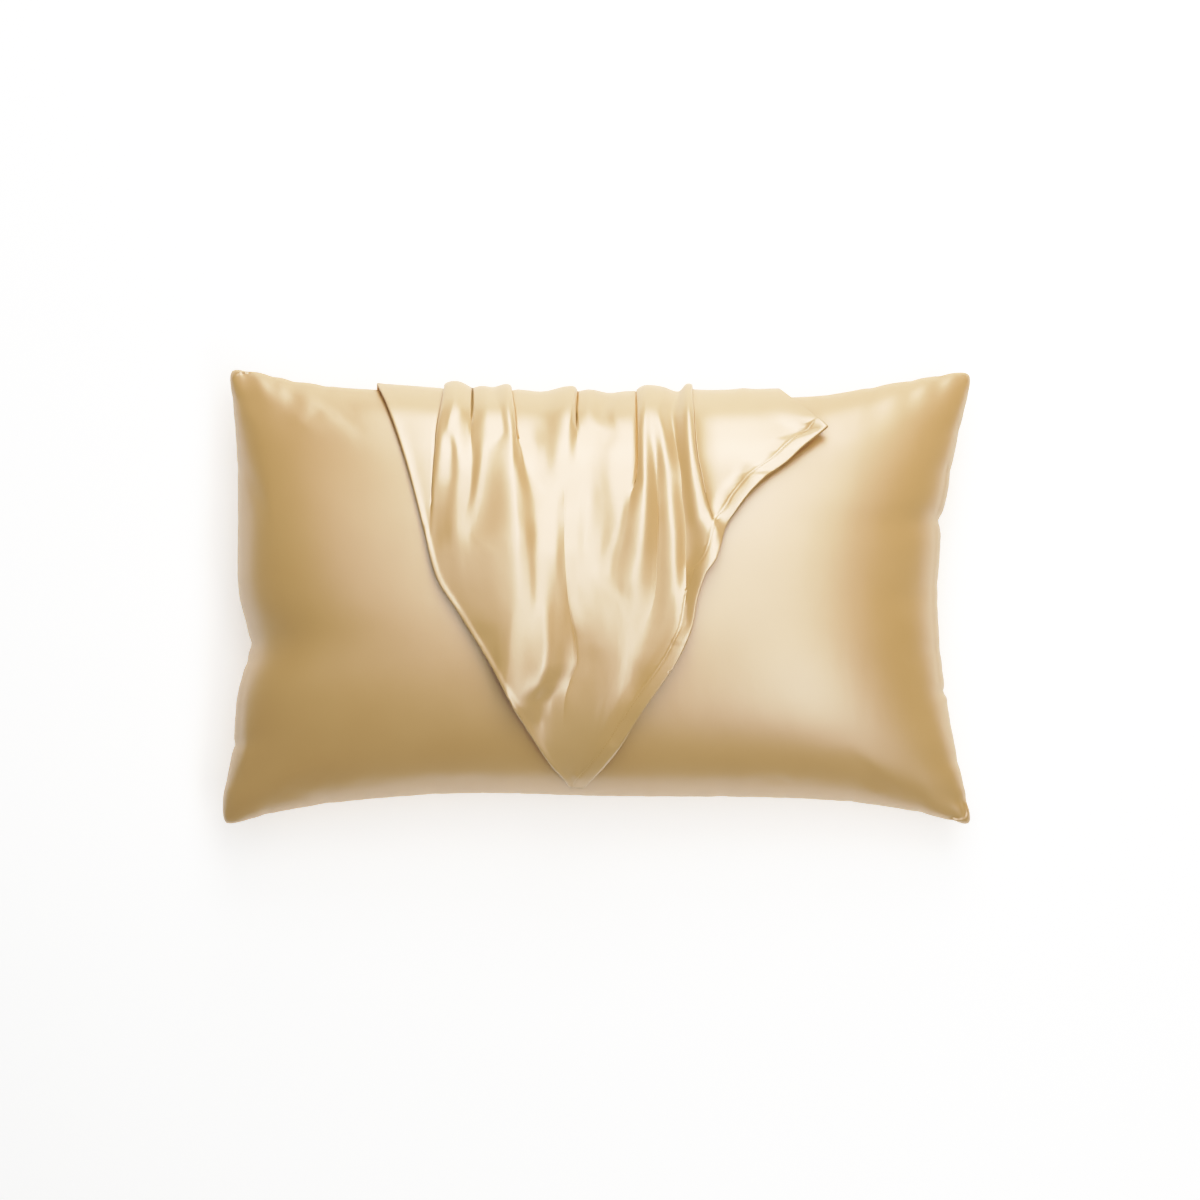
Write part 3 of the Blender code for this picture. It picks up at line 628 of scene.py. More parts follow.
    "turn brow": (5, [
        (38.9, 4.8), (39.2, 4.6), (39.6, 4.6), (39.8, 4.8), (39.8, 5.2), (39.6, 8), (37.7, 9), (35.8, 9),
        (32.1, 8.2), (28.3, 7.9), (26.4, 6.6), (26.4, 6), (26.4, 5.5), (25.5, 5.3), (21.7, 5.2), (16, 5.2),
        (11.3, 4.8), (1.9, 3.9), (-9.4, 1),
    ]),
    "fork left": (4, [
        (47.1, 8.2), (45.7, 6.8), (44.3, 6), (44.3, 6.2), (44.3, 6.8), (43.6, 8.5), (42, 9.4), (40.1, 9.4),
        (36.8, 8.7), (33, 8.3), (31.1, 6.6), (31.1, 5.5), (30.2, 5), (29.2, 4.9), (25.5, 4.9), (19.8, 5.2),
        (15.1, 4.8), (4.7, 4.2), (-7.5, 1),
    ]),
    "fork valley": (8, [
        (53.8, 7.8), (50.9, 6.5), (51.9, 5.4), (54.7, 4.2), (55.6, 3.2), (56.1, 3.4), (56.6, 3.4),
        (56.1, 3.2), (55.6, 3), (55.2, 2.8), (52.8, 2.8), (46.2, 3.2), (39.6, 3.9), (34.9, 4.6),
        (31.1, 4.7), (25.5, 5.3), (19.8, 4.8), (8.5, 4.5), (-4.7, 1),
    ]),
    "fork right": (7, [
        (62.2, 6.2), (56.6, 6.3), (60.4, 5.8), (63.2, 5.8), (66, 5.6), (67.4, 6), (68.4, 6.9), (70.3, 7),
        (70.7, 7), (71.7, 7), (71.7, 7.4), (70.7, 8.2), (66, 8.9), (57.5, 8.6), (50, 7.8), (38.7, 6.4),
        (27.3, 4.8), (14.1, 4.8), (-0.9, 1),
    ]),
    "lap valley": (7, [
        (76.4, 1.6), (70.3, 1.8), (72.6, 2), (75.4, 2.6), (78.3, 3.4), (79.2, 3), (81.6, 3.2), (82.5, 3.2),
        (82.5, 3), (83, 3), (83, 4.4), (83, 5.4), (73.6, 8.8), (70.7, 8.8), (63.2, 8.4), (50, 7.4),
        (36.8, 6.2), (25.5, 4.6), (4.7, 1),
    ]),
    "lap": (8, [
        (85.8, 9), (85.8, 8.6), (86.3, 8), (87.7, 8.2), (89.6, 8.4), (93.4, 8.8), (96.2, 9.4),
        (103.7, 10.6), (103.3, 10.4), (100.9, 9.6), (97.1, 8.4), (93.4, 8), (85.8, 8), (82, 8), (76.4, 7),
        (63.2, 6.4), (50, 5.4), (40.5, 4), (12.3, 1),
    ]),
    "lap brow": (4, [
        (89.1, 7.8), (90.1, 6.8), (90.5, 7), (92.2, 7.2), (96, 7.4), (100, 7.8), (105.6, 8.2), (113.2, 9.2),
        (112.2, 9.6), (112.2, 9.4), (110.3, 8.6), (108.4, 8), (100.9, 7), (97.1, 6.5), (91.5, 6), (82, 5.4),
        (68.8, 4.6), (59.4, 3.4), (25.5, 1),
    ]),
    "lap foot": (3, [
        (88.8, 4), (90.3, 4.8), (90.9, 5.5), (92.6, 5.6), (96.4, 6), (100.3, 6.3), (106, 6.6), (115, 8),
        (115, 9), (116, 9.2), (119.8, 8.4), (117.9, 8), (112.2, 7), (108.4, 6), (104.7, 5.6), (97.1, 5),
        (87.7, 4.2), (82, 3), (40.5, 1),
    ]),
    "flap": (8, [
        (117.9, 2.2), (115, 1.9), (115, 1.9), (117.9, 1.8), (120.7, 1.7), (122.6, 1.8), (124.5, 2.4),
        (128.2, 3.4), (132, 5), (133.9, 6), (134.8, 6), (134.8, 6), (134.8, 6), (134.8, 5), (134.8, 4),
        (134.8, 3.6), (134.8, 3), (134.8, 2.4), (64.1, 1),
    ]),
}
LAST_CELLS = 9
PAST_OUTLINE = 0.004             # how far a row of points goes on past the outline
PAST_LAST_LINE = 0.010           # and past the first and last fold lines
# Lines that are a crease and not a soft fold. From one run to the next the crease sharpens, from
# the third to the fourth it fades, and beyond it the cloth stands up by the step. With no step
# given, the crease takes no narrow cells of its own.
# line: (begins, sharp, still sharp, gone, how sharp, step)
CREASES = {
    "fold foot": (0.054, 0.073, 0.50, 0.60, 1.00, None),
    "arm valley": (0.120, 0.157, 0.50, 0.60, 1.00, 0.0001),
    "crease": (-0.125, -0.088, 0.073, 0.110, 0.70, 0.0001),
    "old crease": (0.134, 0.157, 0.50, 0.60, 1.00, 0.0001),
    "turn foot": (0.073, 0.110, 0.50, 0.60, 1.00, 0.0000),
    "fork valley": (-0.031, 0.007, 0.091, 0.139, 0.80, 0.0000),
    "lap valley": (-0.041, -0.003, 0.129, 0.167, 0.55, 0.0000),
}
CREASE_WIDTH = 0.0004
CREASE_STRAIGHT = 0.9            # how straight the cloth runs into a sharp crease
# Lift of the two edges off the pillow, as (run, height), and how far in from the edge it reaches
LEFT_LIFT = [(-0.175, 0.0004), (-0.120, 0.0014), (-0.060, 0.0012), (0.000, 0.0014), (0.035, 0.0016),
             (0.060, 0.0010), (0.100, 0.0008), (0.187, 0.0004)]
RIGHT_LIFT = [(-0.175, 0.0006), (-0.130, 0.0032), (-0.080, 0.0055), (-0.045, 0.0065), (0.000, 0.0060),
              (0.030, 0.0048), (0.058, 0.0020), (0.085, 0.0052), (0.1075, 0.0050), (0.114, 0.0022),
              (0.122, 0.0026), (0.134, 0.0050), (0.150, 0.0058), (0.170, 0.0018), (0.187, 0.0006)]
LIFT_REACHES = (0.006, 0.024)
# Small dents and puffs that no fold makes: (x, run, half width, half length, height)
DENTS = [
    (0.1300, 0.1100, 0.0120, 0.0180, -0.0012),
    (0.1480, 0.1200, 0.0120, 0.0110, 0.0010),
    (0.0130, -0.1350, 0.0050, 0.0060, 0.0008),
    (-0.0190, -0.1640, 0.0040, 0.0050, 0.0008),
    (0.0715, -0.0430, 0.0050, 0.0025, -0.0007),
    (0.1380, 0.1830, 0.0100, 0.0100, 0.0016),
]
SOFTENED_BEHIND = 0.050          # how far behind the edge the creases have all become soft
LEAST_GAP_BEHIND = 0.0045        # and least distance between two fold lines there
FOLDS_PRESSED = 0.87             # share of the way down behind the edge by which no fold is left
HEM_WIDTH = 0.0125
SEAM_WIDTH = 0.0035
# Across the hem, from its inner edge out: share of its width, and how far it stands up
HEM_PROFILE = [(0.0, 0.0), (0.05, 0.00030), (0.11, 0.00032), (0.16, 0.00010), (0.21, 0.00032),
               (0.35, 0.00030), (0.55, 0.00026), (0.75, 0.00026), (0.92, 0.00034), (1.0, 0.00020)]
STITCH_COLUMN = 3                # the row of the hem's profile that the stitches sit in
# Across the side seam, from the edge in: share of its width, and share of the panels' distance
SEAM_PROFILE = [(0.0, 0.50), (0.30, 0.80), (0.60, 0.95), (1.0, 1.0)]
FACE_STEP = 0.0019               # spacing of the rows on the face
LEAST_ROW_STEP = 0.0007          # a row nearer than this to a corner of the outline gives way to it
OUTLINE_CORNERS_FROM = 0.12      # run from which the right outline's corners have rows of their own
HEM_FADES = 0.020                # how far past its corner the open end gives way to the side seam
LEAST_HEM = 0.0004               # the hem is folded where at least this much of it lies inside
STITCHES_FROM = 0.006            # the stitches begin this far from the tip
STITCHES_TO = 0.002              # and end this far from the hem's other corner
CURL_ROWS = 24
FLOOR_ROWS = 22
SNAP = 0.0003                    # a column nearer than this to the outline joins it


def eased(rows, at, column=1):
    """Reads a table's column between its rows, on a line with no corners and no overshoot."""
    table = np.array(sorted(tuple(row) for row in rows), dtype=float)
    places, values = table[:, 0], table[:, column]
    slopes = level_slopes(values[None, :], places[None, :])[0]
    place = np.clip(at, places[0], places[-1])
    cell = np.clip(np.searchsorted(places, place, side="right") - 1, 0, len(places) - 2)
    width = places[cell + 1] - places[cell]
    t = (place - places[cell]) / width
    return hermite(t, width, values[cell], values[cell + 1], slopes[cell], slopes[cell + 1])


def hermite(t, width, start, end, slope_start, slope_end):
    return ((2 * t ** 3 - 3 * t ** 2 + 1) * start + (t ** 3 - 2 * t ** 2 + t) * width * slope_start
            + (3 * t ** 2 - 2 * t ** 3) * end + (t ** 3 - t ** 2) * width * slope_end)


def level_slopes(values, places):
    """Slopes at each place that make a crest or a valley level, and never overshoot."""
    secants = np.diff(values, axis=1) / np.maximum(np.diff(places, axis=1), 1e-9)
    before, after = secants[:, :-1], secants[:, 1:]
    same_way = before * after > 0.0
    mean = 2.0 * before * after / np.where(same_way, before + after, 1.0)
    inner = np.where(same_way, mean, 0.0)
    return np.concatenate([secants[:, :1], inner, secants[:, -1:]], axis=1)


SKEW_REACH = 0.008               # how far along an edge its direction is read
SEAM_TOP = SEAM_HEIGHT + SEAM_BAND / 2
CURL_BASE = FLOOR_MIDDLE + CLEARANCE
CURL_RUN = math.pi / 2 * math.sqrt((TUCK_IN ** 2 + (SEAM_TOP - CURL_BASE) ** 2) / 2)
FLOOR_RUN = EDGE_LINE + CURL_RUN


def edge_x(rows, run, corner):
    """An outline's x, eased on the face up to its corner and straight beyond."""
    on_face = [row for row in rows if row[0] <= corner + 1e-9]
    beyond = [row for row in rows if row[0] >= corner - 1e-9]
    straight = np.interp(run, [row[0] for row in beyond], [row[1] for row in beyond])
    return np.where(run <= corner, eased(on_face, run), straight)


def left_x(run):
    return edge_x(LEFT_EDGE, run, EDGE_LINE)


def right_x(run):
    return edge_x(RIGHT_EDGE, run, HEM_CORNER_RUN)


def skewness(edge, run):
    """How much farther it is sideways than square to an edge, to a place inside it."""
    slope = (edge(run + SKEW_REACH) - edge(run - SKEW_REACH)) / (2 * SKEW_REACH)
    return np.sqrt(1.0 + slope ** 2)


def hem_line_x(run):
    """The hem's inner edge, which goes on past its corner until it meets the side seam."""
    at = [row[0] for row in RIGHT_EDGE].index(HEM_CORNER_RUN)
    (before, before_x), (corner, corner_x) = RIGHT_EDGE[at - 1:at + 1]
    slope = (corner_x - before_x) / (corner - before)
    outer = np.where(run <= corner, right_x(np.minimum(run, corner)), corner_x + slope * (run - corner))
    straight = corner - SKEW_REACH
    skew = np.where(run <= straight, skewness(right_x, np.minimum(run, straight)),
                    math.sqrt(1.0 + slope ** 2))
    return outer - HEM_WIDTH * skew


def smooth_cloth(x, run):
    """The unfolded cloth, with the direction that faces away from the pillow at each point."""
    bottom, top = side_y("bottom", x), side_y("top", x)
    middle_bottom = float(side_y("bottom", 0.0))
    share = np.clip((run - middle_bottom) / (EDGE_LINE - middle_bottom), 0.0, 1.0)
    y = bottom + (top - bottom) * share
    step = 1e-5
    slope_x = (face_z(x + step, y) - face_z(x - step, y)) / (2 * step)
    slope_y = (face_z(x, y) - face_z(x, y - step)) / step
    on_face = np.stack([x, y, face_z(x, y)], axis=-1)
    outward = np.stack([-slope_x, -slope_y, np.ones_like(x)], axis=-1)
    angle = np.clip((run - EDGE_LINE) / CURL_RUN, 0.0, 1.0) * math.pi / 2
    drop = SEAM_TOP - CURL_BASE
    past_bend = np.clip(run - FLOOR_RUN, 0.0, None)
    curl_y = top - TUCK_IN * (1.0 - np.cos(angle)) - past_bend
    curl = np.stack([x, curl_y, SEAM_TOP - drop * np.sin(angle)], axis=-1)
    curl_outward = np.stack([np.zeros_like(x), np.cos(angle) / TUCK_IN, -np.sin(angle) / drop], axis=-1)
    behind = (run >= EDGE_LINE - 1e-9)[..., None]
    place = np.where(behind, curl, on_face)
    outward = np.where(behind, curl_outward, outward)
    return place, outward / np.linalg.norm(outward, axis=-1, keepdims=True)


def sharpness(name, run):
    begins, sharp, still_sharp, gone, how_sharp, _ = CREASES[name]
    return (how_sharp * smooth_step((run - begins) / (sharp - begins))
            * (1.0 - smooth_step((run - still_sharp) / (gone - still_sharp)))
            * (1.0 - smooth_step((run - EDGE_LINE) / SOFTENED_BEHIND)))


def fold_line(name, runs):
    """A fold line's x and height at each run, in metres."""
    rows = np.column_stack([FOLD_RUNS, FOLD_LINES[name][1]]) / MILLIMETRES
    on_face = np.minimum(runs, EDGE_LINE)
    return eased(rows, on_face, 1), eased(rows, on_face, 2)


def cross_sections(runs):
    """For each run, the x and height of a chain of points over all the folds."""
    names = list(FOLD_LINES)
    at_x, at_high = (np.stack(values, axis=1) for values in zip(*(fold_line(name, runs) for name in names)))
    gaps = np.diff(at_x, axis=1)
    wide = np.maximum(gaps, LEAST_GAP_BEHIND)
    wide = np.cumsum(wide * (gaps.sum(axis=1) / wide.sum(axis=1))[:, None], axis=1)
    softened = smooth_step((runs - EDGE_LINE) / SOFTENED_BEHIND)[:, None]
    at_x[:, 1:] += (at_x[:, :1] + wide - at_x[:, 1:]) * softened
    slopes = np.diff(at_high, axis=1) / np.diff(at_x, axis=1)
    smooth_slopes = level_slopes(at_high, at_x)
    lines, cells, columns = [], [], []
    for number, name in enumerate(names):
        here, high = at_x[:, number], at_high[:, number]
        cells.append(FOLD_LINES[name][0])
        if name in CREASES and CREASES[name][5] is not None:
            sharp, smooth = sharpness(name, runs), smooth_slopes[:, number]
            before = smooth + (slopes[:, number - 1] - smooth) * sharp
            beyond = smooth + (slopes[:, number] - smooth) * sharp
            columns.append((here - CREASE_WIDTH, high - CREASE_WIDTH * before))
            columns.append((here, high))
            columns.append((here + CREASE_WIDTH,
                            high + CREASE_WIDTH * beyond + CREASES[name][5] * sharp))
            lines += ["before", name, "beyond"]
            cells += [1, 1]
        else:
            columns.append((here, high))
            lines.append(name)
    x, high = (np.stack(values, axis=1) for values in zip(*columns))
    first = np.minimum(left_x(runs) - PAST_OUTLINE, x[:, 0] - PAST_LAST_LINE)
    last = np.maximum(right_x(runs) + PAST_OUTLINE, x[:, -1] + PAST_LAST_LINE)
    x = np.concatenate([first[:, None], x, last[:, None]], axis=1)
    high = np.concatenate([high[:, :1], high, high[:, -1:]], axis=1)
    gone = np.clip((runs - EDGE_LINE) / CURL_RUN, 0.0, 1.0) / FOLDS_PRESSED
    high = high * (1.0 - smooth_step(gone))[:, None]
    along = np.cumsum(np.hypot(np.diff(x, axis=1), np.diff(high, axis=1)), axis=1)
    along = np.concatenate([np.zeros((len(runs), 1)), along], axis=1)
    sharp = np.zeros_like(x)
    for name in names:
        if name in CREASES:
            sharp[:, lines.index(name) + 1] = sharpness(name, runs)
    cells.append(LAST_CELLS)
    chains = []
    for values in (x, high):
        secants = np.diff(values, axis=1) / np.diff(along, axis=1)
        level = level_slopes(values, along)
        chain = [values[:, :1]]
        for cell, count in enumerate(cells):
            t = np.linspace(0.0, 1.0, count + 1)[None, 1:]
            width = (along[:, cell + 1] - along[:, cell])[:, None]
            start, end = level[:, cell], level[:, cell + 1]
            start = start + (secants[:, cell] - start) * sharp[:, cell] * CREASE_STRAIGHT
            end = end + (secants[:, cell] - end) * sharp[:, cell + 1] * CREASE_STRAIGHT
            chain.append(hermite(t, width, values[:, cell:cell + 1], values[:, cell + 1:cell + 2],
                                 start[:, None], end[:, None]))
        chains.append(np.concatenate(chain, axis=1))
    return chains


def panel_runs():
    corner_runs = [run for run, _ in RIGHT_EDGE if run > OUTLINE_CORNERS_FROM] + [LEFT_EDGE[-2][0]]
    runs = np.concatenate([
        np.arange(TIP_RUN, EDGE_LINE, FACE_STEP),
        EDGE_LINE + CURL_RUN * np.linspace(0.0, 1.0, CURL_ROWS + 1),
        FLOOR_RUN + (FAR_RUN - FLOOR_RUN) * np.linspace(0.0, 1.0, FLOOR_ROWS + 1)[1:],
    ])
    kept = [run for run in runs if min(abs(run - corner) for corner in corner_runs) > LEAST_ROW_STEP]
    return np.array(sorted(kept + corner_runs))


def crossing(chain, x, from_left):
    """The place along a chain of points, counted in points, where it first reaches an x."""
    if from_left:
        after = int(np.argmax(chain >= x)) if (chain >= x).any() else len(chain) - 1
        before = max(after - 1, 0)
    else:
        before = len(chain) - 1 - int(np.argmax(chain[::-1] <= x)) if (chain <= x).any() else 0
        after = min(before + 1, len(chain) - 1)
    gap = chain[after] - chain[before]
    return before + (0.0 if abs(gap) < 1e-9 else min(max((x - chain[before]) / gap, 0.0), 1.0))


def panel_grid():
    """The case as a grid of rows: x, run, height, share into the hem, and into the side seam."""
    runs = panel_runs()
    chain_x, chain_high = cross_sections(runs)
    lefts, rights = left_x(runs), right_x(runs)
    seam_left = lefts + SEAM_WIDTH * skewness(left_x, runs)
    seam_right = rights - SEAM_WIDTH * skewness(right_x, runs)
    hem = hem_line_x(runs)
    is_hem = hem < rights - LEAST_HEM
    inner = np.where(is_hem, hem, rights - LEAST_HEM)
    inner = np.where(runs > HEM_CORNER_RUN + HEM_FADES, seam_right, inner)
    points, faces, rows, stitched = [], [], [], []
    for row, run in enumerate(runs):
        places, count = np.arange(chain_x.shape[1]), chain_x.shape[1]
        at = [crossing(chain_x[row], x, True) for x in (lefts[row], seam_left[row])]
        to = [crossing(chain_x[row], x, False) for x in (inner[row], rights[row])]
        to[1] = max(to[1], at[0] + 1e-6)
        to[0] = min(max(to[0], at[0]), to[1])
        at[1] = min(at[1], to[0])
        in_seam = [at[0] + (at[1] - at[0]) * share for share, _ in SEAM_PROFILE]
        in_hem = [to[0] + (to[1] - to[0]) * share for share, _ in HEM_PROFILE]
        chain = ([(place, -1.0, share) for place, (share, _) in zip(in_seam, SEAM_PROFILE)]
                 + [(min(max(place, at[1]), to[0]), -1.0, 1.0) for place in places]
                 + [(place, share, 1.0) for place, (share, _) in zip(in_hem, HEM_PROFILE)])
        indices, last = [], None
        for place, hem_share, seam_share in chain:
            x = float(np.interp(place, places, chain_x[row]))
            high = float(np.interp(place, places, chain_high[row]))
            new = last is None or math.hypot(x - last[0], high - last[1]) > SNAP
            if new:
                points.append((x, run, high, hem_share if is_hem[row] else -1.0, seam_share))
                last = (x, high)
            elif hem_share >= 0.0 and points[-1][3] < 0.0 and is_hem[row]:
                points[-1] = points[-1][:3] + (hem_share, seam_share)
            indices.append(len(points) - 1)
        if abs(points[-1][0] - rights[row]) > 1e-6:
            points[-1] = (float(rights[row]),) + points[-1][1:]
        rows.append(indices)
        if is_hem[row] and TIP_RUN + STITCHES_FROM < run < HEM_CORNER_RUN - STITCHES_TO:
            stitched.append(indices[len(SEAM_PROFILE) + count + STITCH_COLUMN])
    for low, high in zip(rows, rows[1:]):
        for a, b, c, d in zip(low[:-1], low[1:], high[1:], high[:-1]):
            corner = list(dict.fromkeys((a, b, c, d)))
            if len(corner) > 2:
                faces.append(tuple(corner))
    return np.array(points), faces, stitched


def panel_middle(points):
    """Middle of the two panels, with every fold, lift and dent."""
    x, run, high = points[:, 0], points[:, 1], points[:, 2]
    shown = 1.0 - smooth_step(np.clip((run - EDGE_LINE) / CURL_RUN, 0.0, 1.0) / FOLDS_PRESSED)
    extra = np.zeros_like(x)
    edges = ((left_x, LEFT_LIFT, 1.0), (right_x, RIGHT_LIFT, -1.0))
    for (edge, lift, sign), reach in zip(edges, LIFT_REACHES):
        inside = sign * (x - edge(run)) / skewness(edge, run)
        extra = extra + eased(lift, run) * (1.0 - smooth_step(inside / reach))
    for at_x, at_run, half_width, half_length, height in DENTS:
        away = ((x - at_x) / half_width) ** 2 + ((run - at_run) / half_length) ** 2
        extra = extra + height * np.exp(-2.0 * away)
    place, outward = smooth_cloth(x, run)
    lifted = np.maximum(high + extra * shown, 0.0)
    return place + outward * (CLEARANCE + lifted)[:, None]


def profile(rows, share):
    return np.interp(share, [row[0] for row in rows], [row[1] for row in rows])


case_points, case_faces, stitched_points = panel_grid()
case_middle = panel_middle(case_points)
case_cut = case_points[:, :2]


def mesh_normals(name, verts, faces):
    probe = new_piece(name, verts, faces)
    normals = np.empty(len(probe.data.vertices) * 3)
    probe.data.vertex_normals.foreach_get("vector", normals)
    mesh = probe.data
    bpy.data.objects.remove(probe)
    bpy.data.meshes.remove(mesh)
    return normals.reshape(-1, 3)


case_normals = mesh_normals("case_middle", case_middle, case_faces)


def make_panel(name, side):
    """A panel on one side of the middle: 1 away from the pillow, -1 towards it."""
    hem_share, seam_share = case_points[:, 3], case_points[:, 4]
    apart = PANEL_APART * profile(SEAM_PROFILE, seam_share)
    stands = np.where(hem_share >= 0.0, profile(HEM_PROFILE, np.maximum(hem_share, 0.0)), 0.0)
    verts = case_middle + case_normals * (side * (apart + stands))[:, None]
    panel = new_piece(name, verts, case_faces, case_cut)
    solid = panel.modifiers.new("cloth thickness", "SOLIDIFY")
    solid.thickness = PANEL_THICK
    solid.offset = 0.0
    solid.use_even_offset = False
    return panel


STITCH_PITCH = 0.0030
STITCH_LENGTH = 0.0023
THREAD_THICK = 0.00036
THREAD_STANDS = 0.00010          # middle of the thread above the cloth
THREAD_DARK = (0.50, 0.32, 0.13)
THREAD_LIGHT = (0.64, 0.44, 0.21)


def stitch_group():
    """Geometry nodes: a row of stitches along a line of mesh edges."""
    group = bpy.data.node_groups.new("sewn row", "GeometryNodeTree")
    sockets = group.interface
    sockets.new_socket("Seam line", in_out="INPUT", socket_type="NodeSocketGeometry")
    for name in ("Pitch", "Stitch length", "Thread thickness"):
        sockets.new_socket(name, in_out="INPUT", socket_type="NodeSocketFloat")
    sockets.new_socket("Thread", in_out="INPUT", socket_type="NodeSocketMaterial")
    sockets.new_socket("Stitches", in_out="OUTPUT", socket_type="NodeSocketGeometry")
    nodes, link = group.nodes, group.links.new
    given, result = nodes.new("NodeGroupInput"), nodes.new("NodeGroupOutput")
    curve, spaced = nodes.new("GeometryNodeMeshToCurve"), nodes.new("GeometryNodeResampleCurve")
    spaced.mode = "LENGTH"
    tangent, turned = nodes.new("GeometryNodeInputTangent"), nodes.new("FunctionNodeAlignRotationToVector")
    turned.axis = "Z"
    bead, size = nodes.new("GeometryNodeMeshUVSphere"), nodes.new("ShaderNodeCombineXYZ")
    bead.inputs["Segments"].default_value = 8
    bead.inputs["Rings"].default_value = 6
    bead.inputs["Radius"].default_value = 0.5
    placed, real = nodes.new("GeometryNodeInstanceOnPoints"), nodes.new("GeometryNodeRealizeInstances")
    painted = nodes.new("GeometryNodeSetMaterial")
    for giver, output, taker, inputs in (
            (given, "Seam line", curve, ("Mesh",)), (curve, "Curve", spaced, ("Curve",)),
            (given, "Pitch", spaced, ("Length",)), (tangent, "Tangent", turned, ("Vector",)),
            (given, "Thread thickness", size, ("X", "Y")), (given, "Stitch length", size, ("Z",)),
            (spaced, "Curve", placed, ("Points",)), (bead, "Mesh", placed, ("Instance",)),
            (turned, "Rotation", placed, ("Rotation",)), (size, "Vector", placed, ("Scale",)),
            (placed, "Instances", real, ("Geometry",)), (real, "Geometry", painted, ("Geometry",)),
            (given, "Thread", painted, ("Material",)), (painted, "Geometry", result, ("Stitches",))):
        for name in inputs:
            link(giver.outputs[output], taker.inputs[name])
    return group


def sewing_thread():
    thread = bpy.data.materials.new("sewing thread")
    thread.use_nodes = True
    nodes, link = thread.node_tree.nodes, thread.node_tree.links.new
    shader, spot = nodes["Principled BSDF"], nodes.new("ShaderNodeTexCoord")
    ply = nodes.new("ShaderNodeTexWave")
    ply.inputs["Scale"].default_value = 900.0
    ply.bands_direction = "DIAGONAL"
    tones = nodes.new("ShaderNodeMix")
    tones.data_type = "RGBA"
    tones.inputs["A"].default_value = (*THREAD_DARK, 1.0)
    tones.inputs["B"].default_value = (*THREAD_LIGHT, 1.0)
    link(spot.outputs["Object"], ply.inputs["Vector"])
    link(ply.outputs["Fac"], tones.inputs["Factor"])
    link(tones.outputs["Result"], shader.inputs["Base Color"])
    shader.inputs["Roughness"].default_value = 0.45
    return thread


sewn_row = stitch_group()
thread_material = sewing_thread()


def hem_stitches(name, side):
    """The hem's stitches on one panel's outer face, as a plain mesh."""
    row = np.array(stitched_points)
    off = PANEL_APART + PANEL_THICK / 2 + HEM_PROFILE[STITCH_COLUMN][1] + THREAD_STANDS
    line = case_middle[row] + case_normals[row] * side * off
    mesh = bpy.data.meshes.new(name + " line")
    mesh.from_pydata([tuple(point) for point in line], [(i, i + 1) for i in range(len(line) - 1)], [])
    seam = bpy.data.objects.new(name + " line", mesh)
    bpy.context.scene.collection.objects.link(seam)
    sewing = seam.modifiers.new("sewing", "NODES")
    sewing.node_group = sewn_row
    values = {"Pitch": STITCH_PITCH, "Stitch length": STITCH_LENGTH, "Thread thickness": THREAD_THICK,
              "Thread": thread_material}
    for socket in sewn_row.interface.items_tree:
        if socket.in_out == "INPUT" and socket.name in values:
            sewing[socket.identifier] = values[socket.name]
    shaped = seam.evaluated_get(bpy.context.evaluated_depsgraph_get())
    stitches = bpy.data.objects.new(name, bpy.data.meshes.new_from_object(shaped))
    stitches.data.shade_smooth()
    bpy.context.scene.collection.objects.link(stitches)
    seam.modifiers.remove(sewing)
    bpy.data.objects.remove(seam)
    return stitches


front = make_panel("case_front_satin", 1.0)
CASE_GOLD = (0.635, 0.420, 0.185)
# The darker mottle tone of the case satin; the back panel wears it all over as painted shade.
CASE_MOTTLE_AND_PAINTED_SHADE = (0.600, 0.385, 0.160)
front.data.materials.append(satin("case satin", CASE_GOLD, CASE_MOTTLE_AND_PAINTED_SHADE, 0.32, 0.08))
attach(front, "root")
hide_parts("case_front_panel")
front_hem = hem_stitches("front_hem_stitches", 1.0)
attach(front_hem, "root")


# ------------------------------------------------------------------------------------------------
# The draped case's back panel: the same cut and the same folds, next to the pillow.
back = make_panel("case_back_satin", -1.0)
# The back panel's satin is its duller inside face, rougher, and painted all over in the darker tone as
# painted shade for lying under the front panel.
back.data.materials.append(satin("case satin inside in painted shade", CASE_MOTTLE_AND_PAINTED_SHADE, CASE_MOTTLE_AND_PAINTED_SHADE, 0.40, 0.08))
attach(back, "root")
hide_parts("case_back_panel")
back_hem = hem_stitches("back_hem_stitches", -1.0)
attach(back_hem, "root")


# ------------------------------------------------------------------------------------------------
# The picture: a plain pale floor, soft studio lights and a camera straight above.
FLOOR_SIZE = 14.0
FLOOR_WHITE = (0.93, 0.93, 0.92)
FLOOR_DROP = 0.0004              # keeps the floor just clear of the cloth
FLOOR_GLOW = 0.42
floor_corners = [(x * FLOOR_SIZE, y * FLOOR_SIZE, -FLOOR_DROP)
                 for x, y in ((-1, -1), (1, -1), (1, 1), (-1, 1))]
floor = new_piece("floor", floor_corners, [(0, 1, 2, 3)])
paper = bpy.data.materials.new("pale paper")
paper.use_nodes = True
sheen = paper.node_tree.nodes["Principled BSDF"].inputs
sheen["Base Color"].default_value = (*FLOOR_WHITE, 1.0)
sheen["Roughness"].default_value = 0.9
sheen["Emission Color"].default_value = (1.0, 1.0, 1.0, 1.0)
sheen["Emission Strength"].default_value = FLOOR_GLOW
floor.data.materials.append(paper)

world = bpy.data.worlds.new("studio")
world.use_nodes = True
surround = world.node_tree.nodes["Background"]
surround.inputs["Color"].default_value = (1.0, 0.99, 0.97, 1.0)
surround.inputs["Strength"].default_value = 0.15
bpy.context.scene.world = world


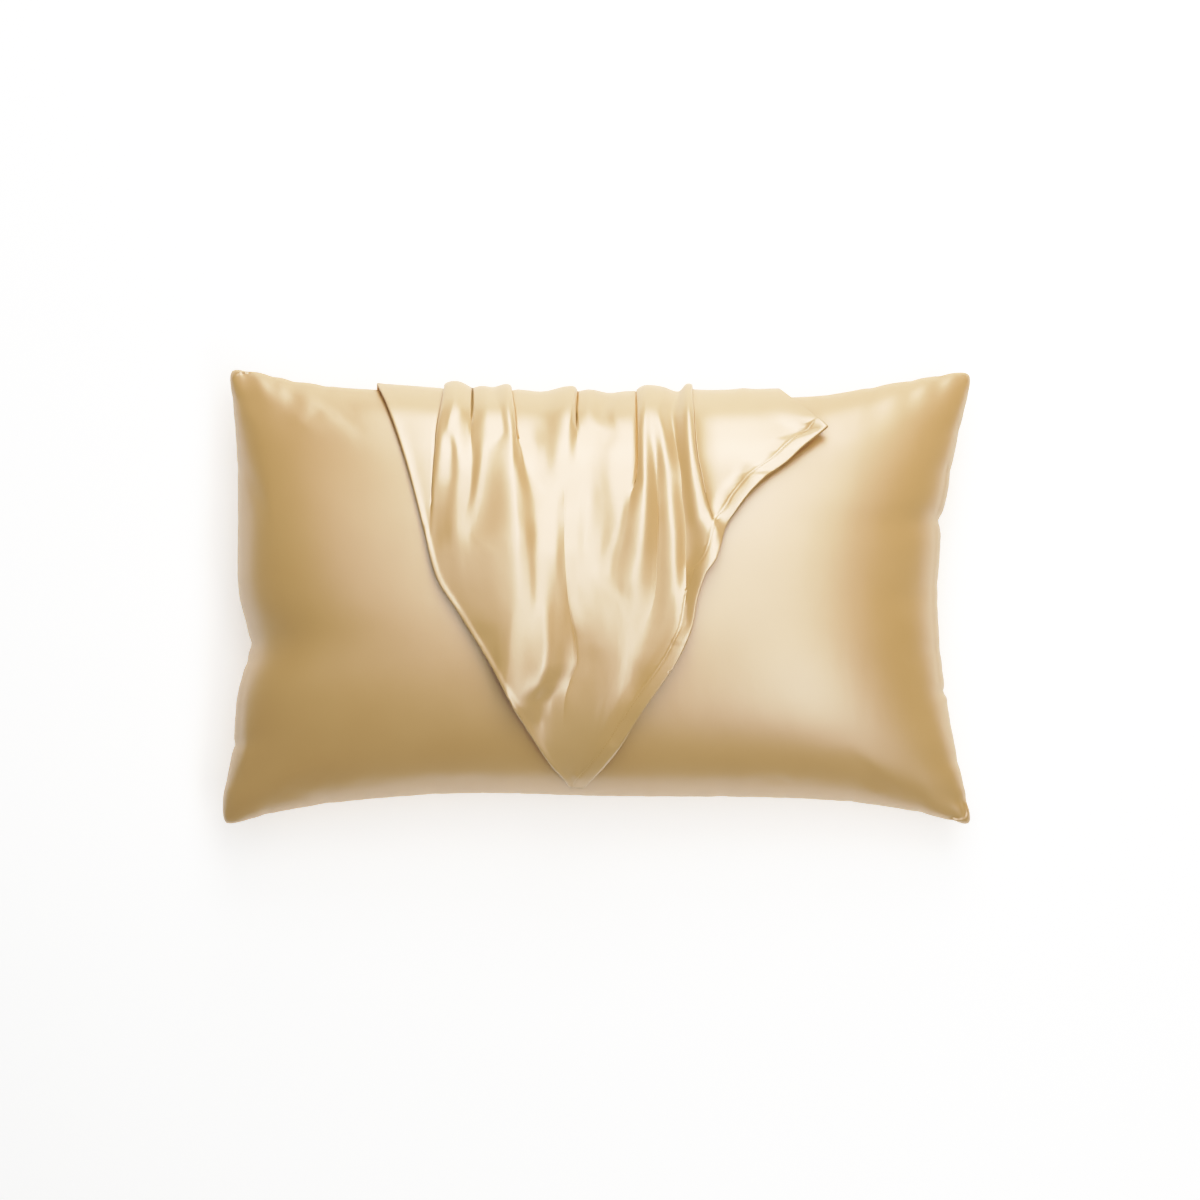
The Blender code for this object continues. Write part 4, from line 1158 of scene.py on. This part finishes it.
def softbox(name, place, aim, size, power):
    light = bpy.data.lights.new(name, "AREA")
    light.shape = "RECTANGLE"
    light.size, light.size_y = size
    light.energy = power
    lamp = bpy.data.objects.new(name, light)
    lamp.location = place
    x, y, z = np.subtract(aim, place) / np.linalg.norm(np.subtract(aim, place))
    lamp.rotation_euler = (math.acos(-z), 0.0, math.atan2(-x, y) if z > -1.0 else 0.0)
    bpy.context.scene.collection.objects.link(lamp)


softbox("near overhead softbox", (0.30, 0.10, 2.0), (0.30, 0.10, 0.0), (1.4, 0.9), 10.0)
softbox("upper overhead softbox", (0.30, 1.20, 2.0), (0.30, 1.20, 0.0), (1.4, 1.2), 18.0)
softbox("high softbox past the top edge", (0.20, 2.60, 2.0), (0.10, 0.0, 0.1), (1.6, 0.9), 21.0)
softbox("low softbox past the top edge", (0.10, 3.00, 1.0), (0.10, 0.0, 0.1), (1.2, 0.9), 15.0)
softbox("softbox over the lower right", (0.80, -1.10, 2.0), (0.80, -1.10, 0.0), (0.9, 1.3), 13.0)
softbox("softbox over the left", (-1.00, 0.60, 2.0), (-1.00, 0.60, 0.0), (0.8, 1.6), 3.5)

PHOTO_WIDTH = 1.1316             # width of the frame at the height of the pillow's seam
VIEW_CENTRE = (0.0028, -0.0028)
CAMERA_HEIGHT = 7.0              # above the seam
SENSOR = 36.0
camera = bpy.data.cameras.new("camera")
camera.sensor_width = SENSOR
camera.lens = SENSOR * CAMERA_HEIGHT / PHOTO_WIDTH
camera.clip_end = 40.0
viewer = bpy.data.objects.new("camera", camera)
viewer.location = (*VIEW_CENTRE, SEAM_HEIGHT + CAMERA_HEIGHT)
bpy.context.scene.collection.objects.link(viewer)
bpy.context.scene.camera = viewer

# The picture's tone: shadows a little deeper, and highlights that roll off softly to white.
TONE = [(0.0, 0.0), (0.12, 0.088), (0.25, 0.242), (0.42, 0.432), (0.65, 0.675), (0.82, 0.800),
        (1.0, 0.902), (1.2, 0.985), (1.5, 1.0)]
look = bpy.context.scene.view_settings
look.view_transform = "Standard"
look.use_curve_mapping = True
tone = look.curve_mapping
tone.clip_max_x = TONE[-1][0]
tone_curve = tone.curves[3]
tone_curve.points[1].location = TONE[-1]
for place in TONE[1:-1]:
    tone_curve.points.new(*place)
tone.update()
